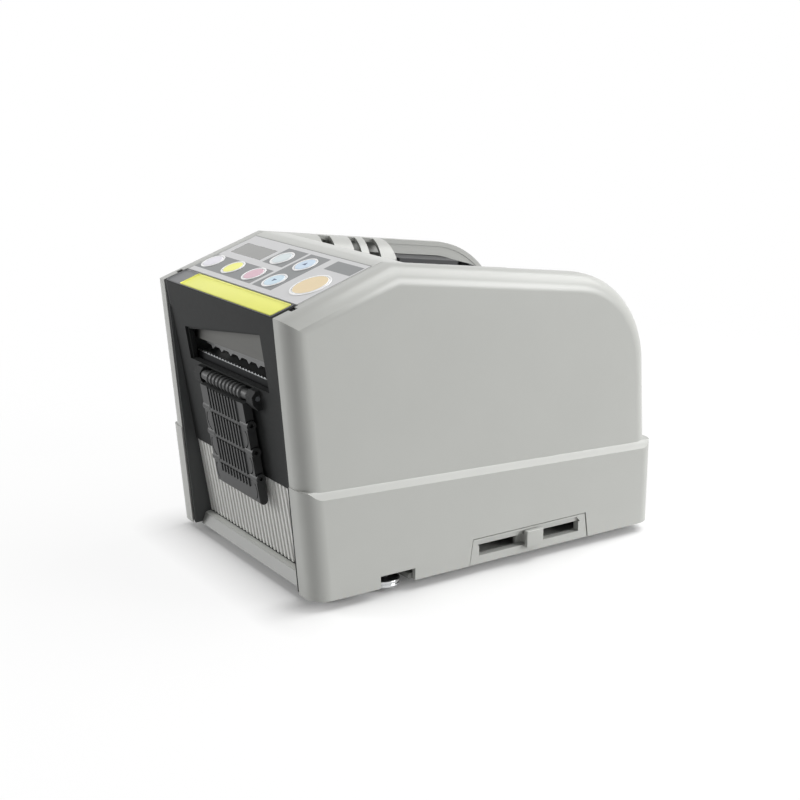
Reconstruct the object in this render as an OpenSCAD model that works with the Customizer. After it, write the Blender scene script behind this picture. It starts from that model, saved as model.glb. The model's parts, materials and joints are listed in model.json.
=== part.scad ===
// Electric tape dispenser for the desk: two side shells over a steel feed and cutter unit,
// a keypad on top, a hinged front cover with a linked tape tongue, and an open tape well behind.
// Millimetres. +Z is up, the tape leaves towards -Y, and the operator's right hand side is +X.
// The row's origin is on the table, under the middle of the machine.

/* [Housing] */
// Width over the skirts of the two shells
body_w = 140; // [132:1:150]
// Step from the skirt in to the upper wall of a shell
ledge_step = 2.2; // [1:0.1:3]
// Where the foot of the front plane stands, forward of the datum
front_reach = 91.8; // [86:0.5:96]
// Where the rear of the skirt stands, behind the datum
rear_reach = 106.5; // [102:0.5:112]
// Lean of the front plane over the table, degrees
front_lean = 4.7; // [2:0.1:7]
// Lean of the cover's face, which falls back towards its foot, degrees
face_lean = 8.7; // [8:0.1:9.4]
// Height of the top edge of the front plane
front_top = 131.4; // [126:0.5:136]
// Slope of the control panel, degrees
panel_tilt = 19.2; // [16:0.2:22]
// Length of the sloping panel from its front edge to its rear edge
panel_len = 53.4; // [50:0.2:58]
// Fall of the top edge towards the rear, degrees
top_fall = 7.5; // [5:0.1:9]
// Rise from the panel's rear edge to the top edge
crown_rise = 1.4; // [0.8:0.1:2]
// Radius of the rounded rear of a shell
rear_round = 50; // [40:1:54]
// Forward lean of the rear wall, degrees
rear_lean = 4.3; // [2:0.1:6]
// Wall thickness of the mouldings
wall = 2.5; // [2:0.1:3]
// Width of the lip that a shell shows beside the panel
lip_w = 14.6; // [13:0.1:16]
// Rounding of the outer edges of a shell
edge_r = 9; // [7:0.5:10]
// Gap under the shells that the feet lift them by
ground_gap = 5; // [4:0.5:7]
// Height of the skirt's ledge at the front
ledge_front = 52.5; // [48:0.5:56]
// Height of the skirt's ledge at the rear
ledge_rear = 44.5; // [40:0.5:48]
// Height of the slope that leads from the ledge to the upper wall
ledge_slope = 3.4; // [2:0.1:5]
// Depth of the flange that a shell turns inwards around its open side
flange_depth = 7.5; // [6:0.1:9]
// Clearance between mouldings that lie side by side
seam = 0.3; // [0.2:0.05:0.5]

/* [Base and feet] */
// Thickness of the base floor
floor_t = 2.6; // [2:0.1:3.5]
// Height of the front bar of the base over the floor
bar_h = 3.3; // [2.6:0.1:4]
// Distance that the front bar's foot stands before the cover's face
bar_proud = 5.7; // [4:0.1:6.4]
// Diameter of a rubber foot
foot_d = 15; // [11:0.5:18]
// Distance of the feet from the middle, sideways
foot_x = 54; // [48:0.5:57]
// Distance of the feet from the ends of the base
foot_inset = 16; // [12:0.5:24]
// Height of the rear panel over the floor
rear_panel_h = 54; // [44:0.5:60]
// Diameter of the housing screws
screw_d = 3; // [2.5:0.1:3.5]

/* [Front cover] */
// Height of the lower edge of the black cover face over the skirt's foot
cover_bottom = 46; // [43:0.5:49]
// Thickness of the cheeks that fill the cover out to the lips
cheek_t = 2; // [1.6:0.1:2.4]
// Half width of the outlet window
window_half = 39; // [37:0.5:40]
// Height of the window's sill over the skirt's foot
sill_v = 90.8; // [90.4:0.1:91.6]
// Height of the window at its low end
window_low = 15; // [12:0.5:18]
// Height of the window at its high end
window_high = 26.2; // [23:0.2:27]
// Depth of the window's tunnel
tunnel_depth = 3.2; // [2.8:0.1:3.6]
// Depth of the sloping top strip of the cover
strip_len = 12.4; // [11:0.1:14]
// Distance of the cover's hinge pins behind the front edge
cover_pin_s = 9.6; // [8.8:0.1:10.2]
// Diameter of the cover's hinge pins
cover_pin_d = 3.2; // [2.4:0.1:3.6]

/* [Tongue] */
// Sideways place of the tongue's middle
tongue_x = 1; // [-2:0.1:3]
// Width between the tongue's ears
tongue_w = 46.4; // [42:0.2:48]
// Height of the tongue's pivot, along the cover's face
tongue_v = 86.6; // [85.6:0.1:86.8]
// Distance of the tongue's pivot in front of the cover face
tongue_off = 1.6; // [1.5:0.1:2.2]
// Radius of the ribbed barrel
barrel_r = 3.3; // [3:0.1:3.4]
// Diameter of the tongue's pivot pin
tongue_pin_d = 2.4; // [2:0.1:2.6]
// Lean of the hanging tongue from upright, degrees
tongue_lean = 9; // [8.8:0.1:10.5]
// Distance from the pivot to the first link joint
link_first = 14.2; // [13:0.1:15]
// Pitch of the link joints
link_pitch = 13; // [12:0.1:13.4]
// Thickness of a link
link_t = 4.2; // [3.8:0.1:4.4]
// Thickness of an ear
ear_t = 6.4; // [4:0.1:7]
// Number of fine ribs across the tongue
rib_count = 10; // [8:1:14]

/* [Control panel] */
// Radius of a small key
key_r = 5.3; // [4.8:0.1:6]
// Radius of the start key
start_r = 8.9; // [8:0.1:10]
// Travel of a key
key_travel = 0.4; // [0.2:0.05:0.6]
// Thickness of the overlay film
film_t = 0.8; // [0.5:0.1:1.2]
// Height that a key stands proud of the film
key_proud = 0.4; // [0.2:0.1:0.8]
// Width of the display window
display_w = 31; // [26:0.5:34]
// Length of the display window along the slope
display_l = 10.4; // [9:0.1:12]
// Depth of the control board under the panel face
board_depth = 8; // [7:0.1:10]

/* [Feed unit] */
// Width of the bays between chassis plates and shell lips
side_bay = 20.1; // [19.6:0.1:21]
// Thickness of a chassis plate
plate_t = 1.6; // [1.2:0.1:2]
// Height of the tape path over the table
path_z = 99.5; // [99:0.1:100]
// Distance of the rollers behind the front plane's foot
roller_back = 29.8; // [26:0.1:31.8]
// Radius of the lower feed roller
feed_r = 10; // [9:0.1:11]
// Radius of the upper pinch roller
pinch_r = 8; // [7:0.1:9]
// Gap that the two rollers leave for the tape
nip = 0.3; // [0.2:0.05:0.6]
// Diameter of the roller shafts
shaft_d = 6; // [5:0.1:7]
// Running clearance of shafts and pins, on the radius
run = 0.05; // [0.02:0.01:0.08]
// Gear module
gear_m = 1; // [0.8:0.1:1]
// Teeth of the feed gear
feed_teeth = 28; // [24:2:32]
// Teeth of the idler gear
idler_teeth = 40; // [36:2:44]
// Teeth of the motor pinion
pinion_teeth = 14; // [12:1:16]
// Width of the gears
gear_w = 6; // [4:0.5:8]
// Direction from the feed gear to the idler, degrees from the rear
idler_turn = -60; // [-70:1:-50]
// Direction from the idler to the motor, degrees from the rear
motor_turn = -100; // [-110:1:-90]
// Diameter of the feed motor
motor_d = 34; // [28:1:38]

/* [Cutter] */
// Distance of the blades before the front plane's foot
blade_ahead = 0.2; // [-0.4:0.1:0.4]
// Distance from the blades back to the chassis plates
chassis_back = 14; // [13:0.5:15]
// Thickness of a blade
blade_t = 1.2; // [0.8:0.1:1.6]
// Height of the moving blade's low end over the tape path at rest
blade_lift = 5.2; // [4.6:0.2:5.6]
// Stroke of the moving blade
blade_stroke = 8; // [6:0.5:9]
// Rise of the moving blade's edge from end to end
blade_shear = 2; // [1:0.1:3]
// Teeth of the cutter pinion
cutter_teeth = 12; // [12:1:14]

/* [Tape well and reel] */
// Front end of the open well, measured behind the origin
well_front = 21; // [18:0.5:26]
// Radius of the vented shoulders
shoulder_r = 20; // [18:0.2:20]
// Distance of the reel shaft behind the origin
reel_y = 62; // [58:0.5:66]
// Height of the reel shaft over the table
reel_z = 80; // [76:0.5:84]
// Radius of the reel hub that holds a tape core
hub_r = 12.6; // [11:0.1:13]
// Width of the reel hub
hub_w = 58; // [40:1:60]
// Diameter of the reel shaft
reel_shaft_d = 6; // [5:0.5:8]
// Height that the reel lifts out by
reel_lift = 90; // [80:1:100]

/* [Side controls] */
// Front end of the slide plate, measured from the origin
slide_front = -9; // [-12:0.5:-6]
// Length of the slide plate at its foot
slide_len = 72; // [68:0.5:76]
// Height of the slide plate
slide_h = 12.6; // [11:0.1:13]
// Height of the slide slot
slot_h = 5; // [4:0.1:6]
// Length of the slide knob
knob_l = 10; // [8:0.2:12]
// Distance that the knob stands out from the skirt
knob_out = 2.4; // [1.5:0.1:2.6]
// Distance of the thumb wheel behind the front plane's foot
thumb_back = 41.8; // [40:0.2:45]
// Radius of the thumb wheel
thumb_r = 7.4; // [6:0.1:8]
// Length of the finger notch
notch_l = 18.6; // [17:0.2:20]
// Height of the finger notch over the skirt's foot
notch_h = 5.8; // [5:0.1:7]

/* [Hidden] */
$fn = 48;
eps = 0.01;
shell_out = body_w / 2;
upper_out = shell_out - ledge_step;
lip_in = shell_out - lip_w;
core_half = lip_in - seam;
channel_half = core_half - side_bay;
thumb_reach = front_reach - thumb_back;
roller_reach = front_reach - roller_back;
blade_reach = front_reach + blade_ahead;
foot_h = ground_gap;
body_grey = "#b9bab6";
pale_grey = "#c9cac6";
cover_black = "#3a3a3a";
deep_black = "#242424";
steel = "#b8bcc0";
gear_white = "#e6e3d8";

// Lines of the side profile, each a point and an outward normal
front_foot = [-front_reach, ground_gap];
front_n = [-cos(front_lean), -sin(front_lean)];
front_len = (front_top - ground_gap) / cos(front_lean);
panel_foot = front_foot + front_len * [-sin(front_lean), cos(front_lean)];
panel_n = [-sin(panel_tilt), cos(panel_tilt)];
panel_rear = panel_foot + panel_len * [cos(panel_tilt), sin(panel_tilt)];
top_start = panel_rear + crown_rise * [1 / tan(panel_tilt), 1];
top_n = [sin(top_fall), cos(top_fall)];
rear_foot = [rear_reach - ledge_step, ledge_rear];
rear_n = [cos(rear_lean), sin(rear_lean)];
foot_n = [0, -1];
face_n = [-cos(face_lean), -sin(face_lean)];
face_len = (front_top - ground_gap) / cos(face_lean);
face_foot = panel_foot - face_len * [-sin(face_lean), cos(face_lean)];

// Where two lines meet, each moved inwards by d
function wedge(a, b) = a[0] * b[1] - a[1] * b[0];
function along(n) = [n[1], -n[0]];
function meet(p, n, q, m, d) =
    let (a = p - d * n, b = q - d * m)
    a + along(n) * wedge(b - a, along(m)) / wedge(along(n), along(m));

function polar(c, r, a) = c + r * [cos(a), sin(a)];
function arc(c, r, a0, a1, steps) = [for (i = [0:steps]) polar(c, r, a0 + (a1 - a0) * i / steps)];

// Outline of a shell's upper part, inset by d
rear_centre = meet(top_start, top_n, rear_foot, rear_n, rear_round);
function shell_outline(d, low = ground_gap) = concat(
    [meet(front_foot, front_n, [0, low + d], foot_n, d)],
    [meet(front_foot, front_n, panel_foot, panel_n, d)],
    [meet(panel_foot, panel_n, top_start, top_n, d)],
    arc(rear_centre, rear_round - d, 90 - top_fall, rear_lean, 26),
    [meet(rear_foot, rear_n, [0, low + d], foot_n, d)]);

// Height of the top edge at a place along Y
function top_z(y) = top_start[1] - (y - top_start[0]) * tan(top_fall);

// Outline of the skirt, its ends inset by d, its ledge raised
ledge_n_raw = [ledge_front - ledge_rear, rear_reach + front_reach];
ledge_n = ledge_n_raw / norm(ledge_n_raw);
skirt_rear = [rear_reach, ground_gap];
skirt_proud = 0.4;
skirt_foot = front_foot + skirt_proud * front_n;
function skirt_outline(d, rise, drop) = [
    meet(skirt_foot - d * front_n, front_n, [0, ground_gap - drop], foot_n, 0),
    meet(skirt_foot - d * front_n, front_n, [-front_reach, ledge_front + rise], ledge_n, 0),
    meet(skirt_rear - [d, 0], [1, 0], [-front_reach, ledge_front + rise], ledge_n, 0),
    skirt_rear - [d, drop]];

// A YZ outline made solid from x0 to x1
module slab(x0, x1, points) {
    translate([x0, 0, 0])
        rotate([90, 0, 90])
            linear_extrude(x1 - x0)
                polygon(points);
}

// A round bar along X
module bar(x0, x1, y, z, r) {
    translate([x0, y, z])
        rotate([0, 90, 0])
            cylinder(r = r, h = x1 - x0);
}

// Frame of the cover's face: z up the face, y into the machine
module on_face() {
    translate([0, face_foot[0], face_foot[1]])
        rotate([face_lean, 0, 0])
            children();
}

// Frame of the control panel: y up the slope, z out of it
module on_panel() {
    translate([0, panel_foot[0], panel_foot[1]])
        rotate([panel_tilt, 0, 0])
            children();
}

// A skin over outlines that stand at the places xs along X
module skin(xs, rings) {
    n = len(rings[0]);
    k = len(rings);
    polyhedron(
        points = [for (i = [0:k - 1], p = rings[i]) [xs[i], p[0], p[1]]],
        faces = concat(
            [[for (j = [n - 1:-1:0]) j]],
            [[for (j = [0:n - 1]) (k - 1) * n + j]],
            [for (i = [0:k - 2], j = [0:n - 1]) [i * n + j, i * n + (j + 1) % n, (i + 1) * n + (j + 1) % n]],
            [for (i = [0:k - 2], j = [0:n - 1]) [i * n + j, (i + 1) * n + (j + 1) % n, (i + 1) * n + j]]));
}

// Housing shells, rounded towards the outside in a few steps
edge_steps = 8;
edge_turns = [for (i = [0:edge_steps]) 90 * i / edge_steps];
upper_low = ground_gap + 18;

module upper_form(inset, inner_x, low) {
    r = edge_r - inset;
    x0 = upper_out - inset - r;
    skin(
        concat([inner_x], [for (a = edge_turns) x0 + r * sin(a)]),
        concat([shell_outline(inset, low)], [for (a = edge_turns) shell_outline(inset + r * (1 - cos(a)), low)]));
}

module skirt_form(inset, inner_x, drop) {
    r = edge_r - inset;
    out = shell_out - inset;
    x0 = out - r;
    skin(
        concat([inner_x], [for (a = edge_turns) x0 + r * sin(a)]),
        concat([skirt_outline(inset, ledge_slope - inset, drop)],
            [for (a = edge_turns) skirt_outline(inset + r * (1 - cos(a)),
                min(ledge_slope, ledge_slope * (r - r * sin(a)) / ledge_step) - inset, drop)]));
}

module flange_ring() {
    difference() {
        slab(lip_in + seam, lip_in + wall, shell_outline(wall * 0.6));
        slab(lip_in - eps, lip_in + wall + 1, shell_outline(flange_depth));
    }
}

// Bosses that take the housing screws
boss_r = 3.6;
boss_h = 12;
boss_x = lip_in + wall + boss_r + 1;
boss_ys = [-front_reach + foot_inset + 14, rear_reach - foot_inset - 14];
floor_top = ground_gap + floor_t;

module shell_half() {
    difference() {
        union() {
            difference() {
                union() {
                    upper_form(0, lip_in, upper_low);
                    skirt_form(0, lip_in + seam / 2, 0);
                }
                upper_form(wall, lip_in - 1, upper_low - wall - 1);
                skirt_form(wall, lip_in - 2, wall + 1);
            }
            flange_ring();
            for (y = boss_ys)
                translate([boss_x, y, floor_top])
                    cylinder(r = boss_r, h = boss_h);
            for (y = boss_ys)
                translate([boss_x, y - wall / 2, floor_top + boss_h / 2])
                    cube([shell_out - wall / 2 - boss_x, wall, boss_h / 2]);
        }
        for (y = boss_ys)
            translate([boss_x, y, floor_top - eps])
                cylinder(d = screw_d, h = boss_h - wall);
        translate([lip_in - 1, -front_reach, -eps])
            cube([wall + 1 + seam, front_reach + rear_reach, floor_top + seam]);
        translate([lip_in - 1, -front_reach + flange_depth + wall, -eps])
            cube([wall + 1 + seam, front_reach + rear_reach - 3 * flange_depth, ground_gap + 2 * flange_depth]);
        cover_pin_holes();
    }
}

// Bearings of the cover's pins, open above to snap in
module cover_pin_holes() {
    on_panel() {
        bar(lip_in - 1, lip_in + wall + 1, cover_pin_s, -cover_pin_depth, cover_pin_d / 2 + run);
        translate([lip_in - 1, cover_pin_s - cover_pin_d / 2, -cover_pin_depth])
            cube([wall + 1.4, cover_pin_d, cover_pin_d + wall]);
    }
}

slide_rear = slide_front + slide_len;
slide_taper = 2;
notch_front = -thumb_reach - notch_l / 2 + 1;

// Outline of the slide plate in the skirt's lower edge
function slide_outline(d) = [
    [slide_front - d, ground_gap - 1 + d],
    [slide_front + slide_taper - d, ground_gap + slide_h + d],
    [slide_rear - slide_taper + d, ground_gap + slide_h + d],
    [slide_rear + d, ground_gap - 1 + d]];

module right_shell() {
    color(body_grey)
        difference() {
            shell_half();
            slab(shell_out - wall - 1, shell_out + 1, slide_outline(seam));
            translate([shell_out - wall - 1, notch_front, ground_gap - 1])
                cube([wall + 2, notch_l, notch_h + 1]);
        }
}

module left_shell() {
    color(body_grey)
        mirror([1, 0, 0])
            shell_half();
}

// Base, feet and rear panel
floor_front = face_foot[0] + wall + 2 * seam;
bar_half = core_half - cheek_t - 2 * seam;
bar_crown = 0.7;
base_rear = rear_reach - wall - seam;
base_half = shell_out - wall - seam;
foot_ys = [-front_reach + foot_inset, rear_reach - foot_inset];
foot_pin_d = 4;
foot_pin_h = 5;

module base_tray() {
    color(body_grey)
        difference() {
            union() {
                translate([-core_half, floor_front, ground_gap])
                    cube([2 * core_half, base_rear - floor_front, floor_t]);
                translate([-base_half, floor_front, ground_gap])
                    cube([2 * base_half, base_rear - edge_r - floor_front, floor_t]);
                slab(-bar_half, bar_half, [
                    face_foot + [-bar_proud, 0],
                    face_foot + [-bar_proud / 2 - bar_crown, floor_t + bar_h - bar_crown],
                    face_foot + [-bar_proud / 2 + bar_crown, floor_t + bar_h],
                    face_foot + [-seam, floor_t + bar_h],
                    face_foot + [-seam, floor_t],
                    [floor_front + 1, floor_top],
                    [floor_front + 1, ground_gap]]);
                for (x = [-1, 1], y = foot_ys)
                    translate([x * foot_x, y, floor_top - eps])
                        cylinder(r = foot_pin_d, h = foot_pin_h - floor_t + wall);
            }
            for (x = [-1, 1], y = foot_ys)
                translate([x * foot_x, y, ground_gap - eps])
                    cylinder(d = foot_pin_d, h = foot_pin_h);
            for (x = [-1, 1], y = boss_ys)
                translate([x * boss_x, y, ground_gap - eps])
                    cylinder(d = screw_d + 0.4, h = floor_t + 1);
            translate([thumb_x - thumb_r - 1, -thumb_reach - thumb_r - 1, ground_gap - eps])
                cube([base_half - thumb_x + thumb_r + 2, 2 * thumb_r + 2, floor_t + 1]);
            translate([knob_inner_x - 1, slide_front - slide_flange - seam, ground_gap - eps])
                cube([base_half - knob_inner_x + 2, slide_len + 2 * slide_flange + 2 * seam, floor_t + 1]);
        }
}

module rubber_feet() {
    color("#262626")
        for (x = [-1, 1], y = foot_ys)
            translate([x * foot_x, y, 0])
                difference() {
                    union() {
                        rotate_extrude()
                            polygon([[0, 0], [foot_d / 2 - 1, 0], [foot_d / 2, 1], [foot_d / 2 - 1, foot_h], [0, foot_h]]);
                        cylinder(d = foot_pin_d, h = foot_h + foot_pin_h - 1);
                    }
                    translate([0, 0, -eps])
                        cylinder(d = foot_pin_d + 2, h = 1.6);
                }
}

module housing_screws() {
    color(steel)
        for (x = [-1, 1], y = boss_ys)
            translate([x * boss_x, y, ground_gap])
                difference() {
                    union() {
                        translate([0, 0, -1.4])
                            cylinder(d = 2 * screw_d, h = 1.4);
                        cylinder(d = screw_d - 0.04, h = floor_t + boss_h - wall - 1);
                    }
                    for (a = [0, 90])
                        rotate([0, 0, a])
                            translate([-screw_d * 0.7, -0.35, -1.4 - eps])
                                cube([screw_d * 1.4, 0.7, 0.8]);
                }
}

rear_face = rear_reach - ledge_step;
inlet_x = 30;
inlet_z = floor_top + 14;
inlet_d = 11;
switch_x = -28;
switch_z = floor_top + 16;
switch_w = 13;
switch_h = 19;
socket_depth = 7;

module rear_panel() {
    color(body_grey)
        difference() {
            union() {
                slab(-core_half, core_half, [
                    [rear_face - wall, floor_top],
                    [rear_face, floor_top],
                    [rear_face - tan(rear_lean) * rear_panel_h, floor_top + rear_panel_h],
                    [rear_face - tan(rear_lean) * rear_panel_h - wall, floor_top + rear_panel_h]]);
                translate([-core_half, rear_face - 3 * wall, floor_top])
                    cube([2 * core_half, 3 * wall - 1, wall]);
            }
            translate([inlet_x, rear_face + 5, inlet_z])
                rotate([90, 0, 0])
                    cylinder(d = inlet_d + 2 * run, h = 12);
            translate([switch_x - switch_w / 2 - run, rear_face - 10, switch_z - switch_h / 2 - run])
                cube([switch_w + 2 * run, 15, switch_h + 2 * run]);
        }
}

module power_inlet() {
    color(deep_black)
        translate([inlet_x, rear_face + 0.2, inlet_z])
            rotate([90, 0, 0])
                difference() {
                    union() {
                        translate([0, 0, -1.6])
                            cylinder(d = inlet_d + 4, h = 1.6);
                        cylinder(d = inlet_d, h = socket_depth);
                    }
                    translate([0, 0, -1.6 - eps])
                        difference() {
                            cylinder(d = 6.4, h = socket_depth);
                            cylinder(d = 2.1, h = socket_depth);
                        }
                }
}

rocker_r = switch_h / 2 - 2.5;
rocker_w = switch_w - 4.4;
rocker_y = rear_face - 2.4;
rocker_pin_d = 2;

module switch_bezel() {
    color(deep_black)
        difference() {
            union() {
                translate([switch_x - switch_w / 2 - 1.6, rear_face, switch_z - switch_h / 2 - 1.6])
                    cube([switch_w + 3.2, 1.6, switch_h + 3.2]);
                translate([switch_x - switch_w / 2, rear_face - socket_depth, switch_z - switch_h / 2])
                    cube([switch_w, socket_depth + eps, switch_h]);
            }
            translate([switch_x - rocker_w / 2 - 0.3, rear_face - socket_depth + 1, switch_z - rocker_r - 1])
                cube([rocker_w + 0.6, 14, 2 * rocker_r + 2]);
            bar(switch_x - rocker_w / 2 - 1.6, switch_x + rocker_w / 2 + 1.6, rocker_y, switch_z, rocker_pin_d / 2 + run);
        }
}

rocker_tilt = 9;

module power_rocker() {
    color("#1d1d1d")
        union() {
            translate([0, rocker_y, switch_z])
                rotate([rocker_tilt, 0, 0])
                    slab(switch_x - rocker_w / 2, switch_x + rocker_w / 2, [
                        [-3, -2.4], [-3, 2.4], [-1, rocker_r], [4.6, rocker_r], [3, 0], [4.6, -rocker_r], [-1, -rocker_r]]);
            bar(switch_x - rocker_w / 2 - 1.4, switch_x + rocker_w / 2 + 1.4, rocker_y, switch_z, rocker_pin_d / 2);
        }
}

// Lower ribbed panel, in line with the cover's face
ribbed_half = core_half - cheek_t - seam;
ribbed_back = 0.5;
ribbed_ribs = 30;
rib_depth = 1;
ribbed_low = (floor_t + bar_h) / cos(face_lean) + seam;
ribbed_high = cover_bottom - seam;
post_w = 4;

module ribbed_panel() {
    pitch = 2 * ribbed_half / ribbed_ribs;
    tall = ribbed_high - ribbed_low;
    color("#a5a59e")
        difference() {
            on_face()
                union() {
                    translate([-ribbed_half, ribbed_back + rib_depth, ribbed_low])
                        cube([2 * ribbed_half, wall, tall]);
                    for (i = [0:ribbed_ribs - 1])
                        translate([-ribbed_half + (i + 0.25) * pitch, ribbed_back, ribbed_low])
                            cube([pitch / 2, rib_depth + eps, tall]);
                    for (x = [-1, 1])
                        translate([x * (ribbed_half - post_w) - post_w / 2, ribbed_back + rib_depth, 0])
                            cube([post_w, wall, ribbed_low + eps]);
                }
            translate([-body_w, -body_w, -body_w + floor_top])
                cube([2 * body_w, 2 * body_w, body_w]);
        }
}

// Front cover with its window, strip, cheeks, pins and ears
cover_pin_depth = cover_pin_d / 2 + 0.5;
cheek_low = 0.4;
cheek_fade = 14;
ear_top = 3.6;
ear_drop = 5.6;
ear_nose = 4.4;
ear_cut = 2.2;
ear_out = tongue_w / 2 + ear_t + seam;
pivot_y = -tongue_off;
pivot_v = tongue_v;
bevel = 1.2;
frame_w = 1.6;

module window_cut(grow, low) {
    polygon([
        [-window_half - grow, sill_v - low],
        [window_half + grow, sill_v - low],
        [window_half + grow, sill_v + window_high + grow],
        [-window_half - grow, sill_v + window_low + grow]]);
}

module front_prism(y0, y1) {
    translate([0, y1, 0])
        rotate([90, 0, 0])
            linear_extrude(y1 - y0)
                children();
}

// Places along the lips' front plane, the cover's face and the panel
function front_pt(v, y) = front_foot + v * [-sin(front_lean), cos(front_lean)] - y * front_n;
function face_pt(v, y) = face_foot + v * [-sin(face_lean), cos(face_lean)] - y * face_n;
function panel_pt(s, h) = panel_foot + s * [cos(panel_tilt), sin(panel_tilt)] + h * panel_n;

// A cheek fills the wedge between the cover's face and its lip
module cheek() {
    slab(core_half - cheek_t, core_half, [
        front_pt(cheek_low, seam), front_pt(front_len - cheek_fade, seam),
        face_pt(face_len - cheek_fade / 2, wall / 2), face_pt(face_len - cheek_fade, wall),
        face_pt(cheek_low, wall)]);
}

module front_cover() {
    color(cover_black)
        difference() {
            union() {
                slab(-core_half, core_half, [
                    face_pt(cover_bottom, wall), face_pt(cover_bottom, 0), panel_foot,
                    panel_pt(strip_len, 0), panel_pt(strip_len, -wall),
                    meet(face_foot, face_n, panel_foot, panel_n, wall)]);
                for (s = [0, 1])
                    mirror([s, 0, 0])
                        cheek();
                on_face()
                    front_prism(wall / 2, tunnel_depth)
                        window_cut(frame_w, frame_w);
                on_panel()
                    bar(-lip_in - wall, lip_in + wall, cover_pin_s, -cover_pin_depth, cover_pin_d / 2);
                on_face()
                    for (x = [tongue_x - ear_out, tongue_x + ear_out - ear_t])
                        ear(x);
            }
            on_face() {
                front_prism(-1, tunnel_depth + 1)
                    window_cut(0, 0);
                front_prism(-1, bevel)
                    window_cut(bevel, 0);
                bar(tongue_x - ear_out - 1, tongue_x + ear_out + 1, pivot_y, pivot_v, tongue_pin_d / 2 + 0.01);
                bar(tongue_x - tongue_w / 2 - seam / 2, tongue_x + tongue_w / 2 + seam / 2,
                    pivot_y, pivot_v, barrel_r + 0.4);
            }
        }
}

// A nosed ear holds the tongue's pin
module ear(x) {
    slab(x, x + ear_t, [
        [wall / 2, pivot_v + ear_top], [-ear_cut, pivot_v + ear_top], [-ear_nose, pivot_v + ear_top - ear_cut],
        [-ear_nose, pivot_v - ear_cut], [-ear_cut, pivot_v - ear_drop], [wall / 2, pivot_v - ear_drop]]);
}

module tongue_pin() {
    color(steel)
        on_face()
            bar(tongue_x - ear_out, tongue_x + ear_out, pivot_y, pivot_v, tongue_pin_d / 2);
}

// Tongue: a ribbed barrel and a chain of hinged links, hanging straight down from its pivot
tongue_foot = face_foot + pivot_v * [-sin(face_lean), cos(face_lean)] + tongue_off * face_n;
link_count = 4;
knuckle_r = link_t / 2 + 0.3;
stub_r = 0.9;
knuckle_gap = 0.3;
side_l = 6.4;
side_proud = 1;
link_y = -barrel_r + 1.2;
rib_h = 0.6;
rib_gap = 0.9;
smooth_l = 7;
ring_count = 10;
ring_half = 18;
ring_h = 0.8;
petal_r = 6;
petal_w = 0.7;

function joint_drop(i) = link_first + i * link_pitch;

module on_tongue() {
    translate([tongue_x, tongue_foot[0], tongue_foot[1]])
        rotate([tongue_lean, 0, 0])
            children();
}

// Plate of a link between two heights, with its fine ribs
module link_plate(half, top, bottom, rib_end) {
    pitch = 2 * (half - side_l) / rib_count;
    translate([-half, link_y - link_t / 2, -bottom])
        cube([2 * half, link_t, bottom - top]);
    for (i = [0:rib_count - 1])
        translate([-half + side_l + (i + 0.3) * pitch, link_y - link_t / 2 - rib_h, -rib_end + rib_gap])
            cube([pitch * 0.4, rib_h + eps, rib_end - top - 2 * rib_gap]);
}

// Curved lines in the side columns of a link
module petals(half, drop) {
    for (s = [0, 1])
        mirror([s, 0, 0])
            translate([half - petal_r - petal_w, link_y - link_t / 2 + petal_w, -drop - petal_r])
                rotate([90, 0, 0])
                    linear_extrude(2 * petal_w)
                        intersection() {
                            difference() {
                                circle(r = petal_r);
                                circle(r = petal_r - petal_w);
                            }
                            translate([petal_r / 3, -petal_r])
                                square([petal_r, petal_r * 1.6]);
                        }
}

// Middle knuckle at the foot of a link, with a stub pin at each end
module foot_knuckle(half, drop) {
    middle = half - side_l - knuckle_gap;
    bar(-middle, middle, link_y, -drop, knuckle_r);
    bar(-half + 1, half - 1, link_y, -drop, stub_r);
}

// Two side knuckles at the head of a link
module head_knuckles(half, drop) {
    for (s = [0, 1])
        mirror([s, 0, 0])
            bar(half - side_l, half + side_proud, link_y, -drop, knuckle_r);
}

// Room around a joint for the other link's knuckles
module side_room(half, drop) {
    for (s = [0, 1])
        mirror([s, 0, 0])
            bar(half - side_l - knuckle_gap, half + side_proud + 1, link_y, -drop, knuckle_r + knuckle_gap);
}

module middle_room(half, drop) {
    middle = half - side_l - knuckle_gap;
    bar(-middle - knuckle_gap, middle + knuckle_gap, link_y, -drop, knuckle_r + knuckle_gap);
}

module link_solid(i) {
    half = tongue_w / 2 - seam - side_proud;
    top = joint_drop(i - 1);
    bottom = joint_drop(i);
    last = i == link_count - 1;
    end = last ? bottom - link_t / 2 : bottom;
    difference() {
        union() {
            difference() {
                link_plate(half, top, end, last ? bottom - smooth_l : bottom);
                if (!last)
                    side_room(half, bottom);
                translate([-half - 1, link_y - link_t, -top - eps])
                    cube([side_l + 1 - eps, 2 * link_t, eps]);
                petals(half, top);
            }
            head_knuckles(half, top);
            if (last)
                bar(-half, half, link_y, -end, link_t / 2);
        }
        middle_room(half, top);
        bar(-half - side_proud - 1, half + side_proud + 1, link_y, -top, stub_r + run);
    }
    if (!last)
        foot_knuckle(half, bottom);
}

// Outline of the barrel: plain ends and fine rings between them
barrel_l = tongue_w - 2 * seam;
ring_pitch = 2 * ring_half / ring_count;
ring_start = barrel_l / 2 - ring_half;
ring_bore = tongue_pin_d / 2 + run;
barrel_points = concat(
    [[ring_bore, 0], [barrel_r - ring_h, 0]],
    [for (i = [0:ring_count - 1], k = [0:3])
        [k == 0 || k == 3 ? barrel_r - ring_h : barrel_r, ring_start + (i + [0.1, 0.28, 0.72, 0.9][k]) * ring_pitch]],
    [[barrel_r - ring_h, barrel_l], [ring_bore, barrel_l]]);

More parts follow.
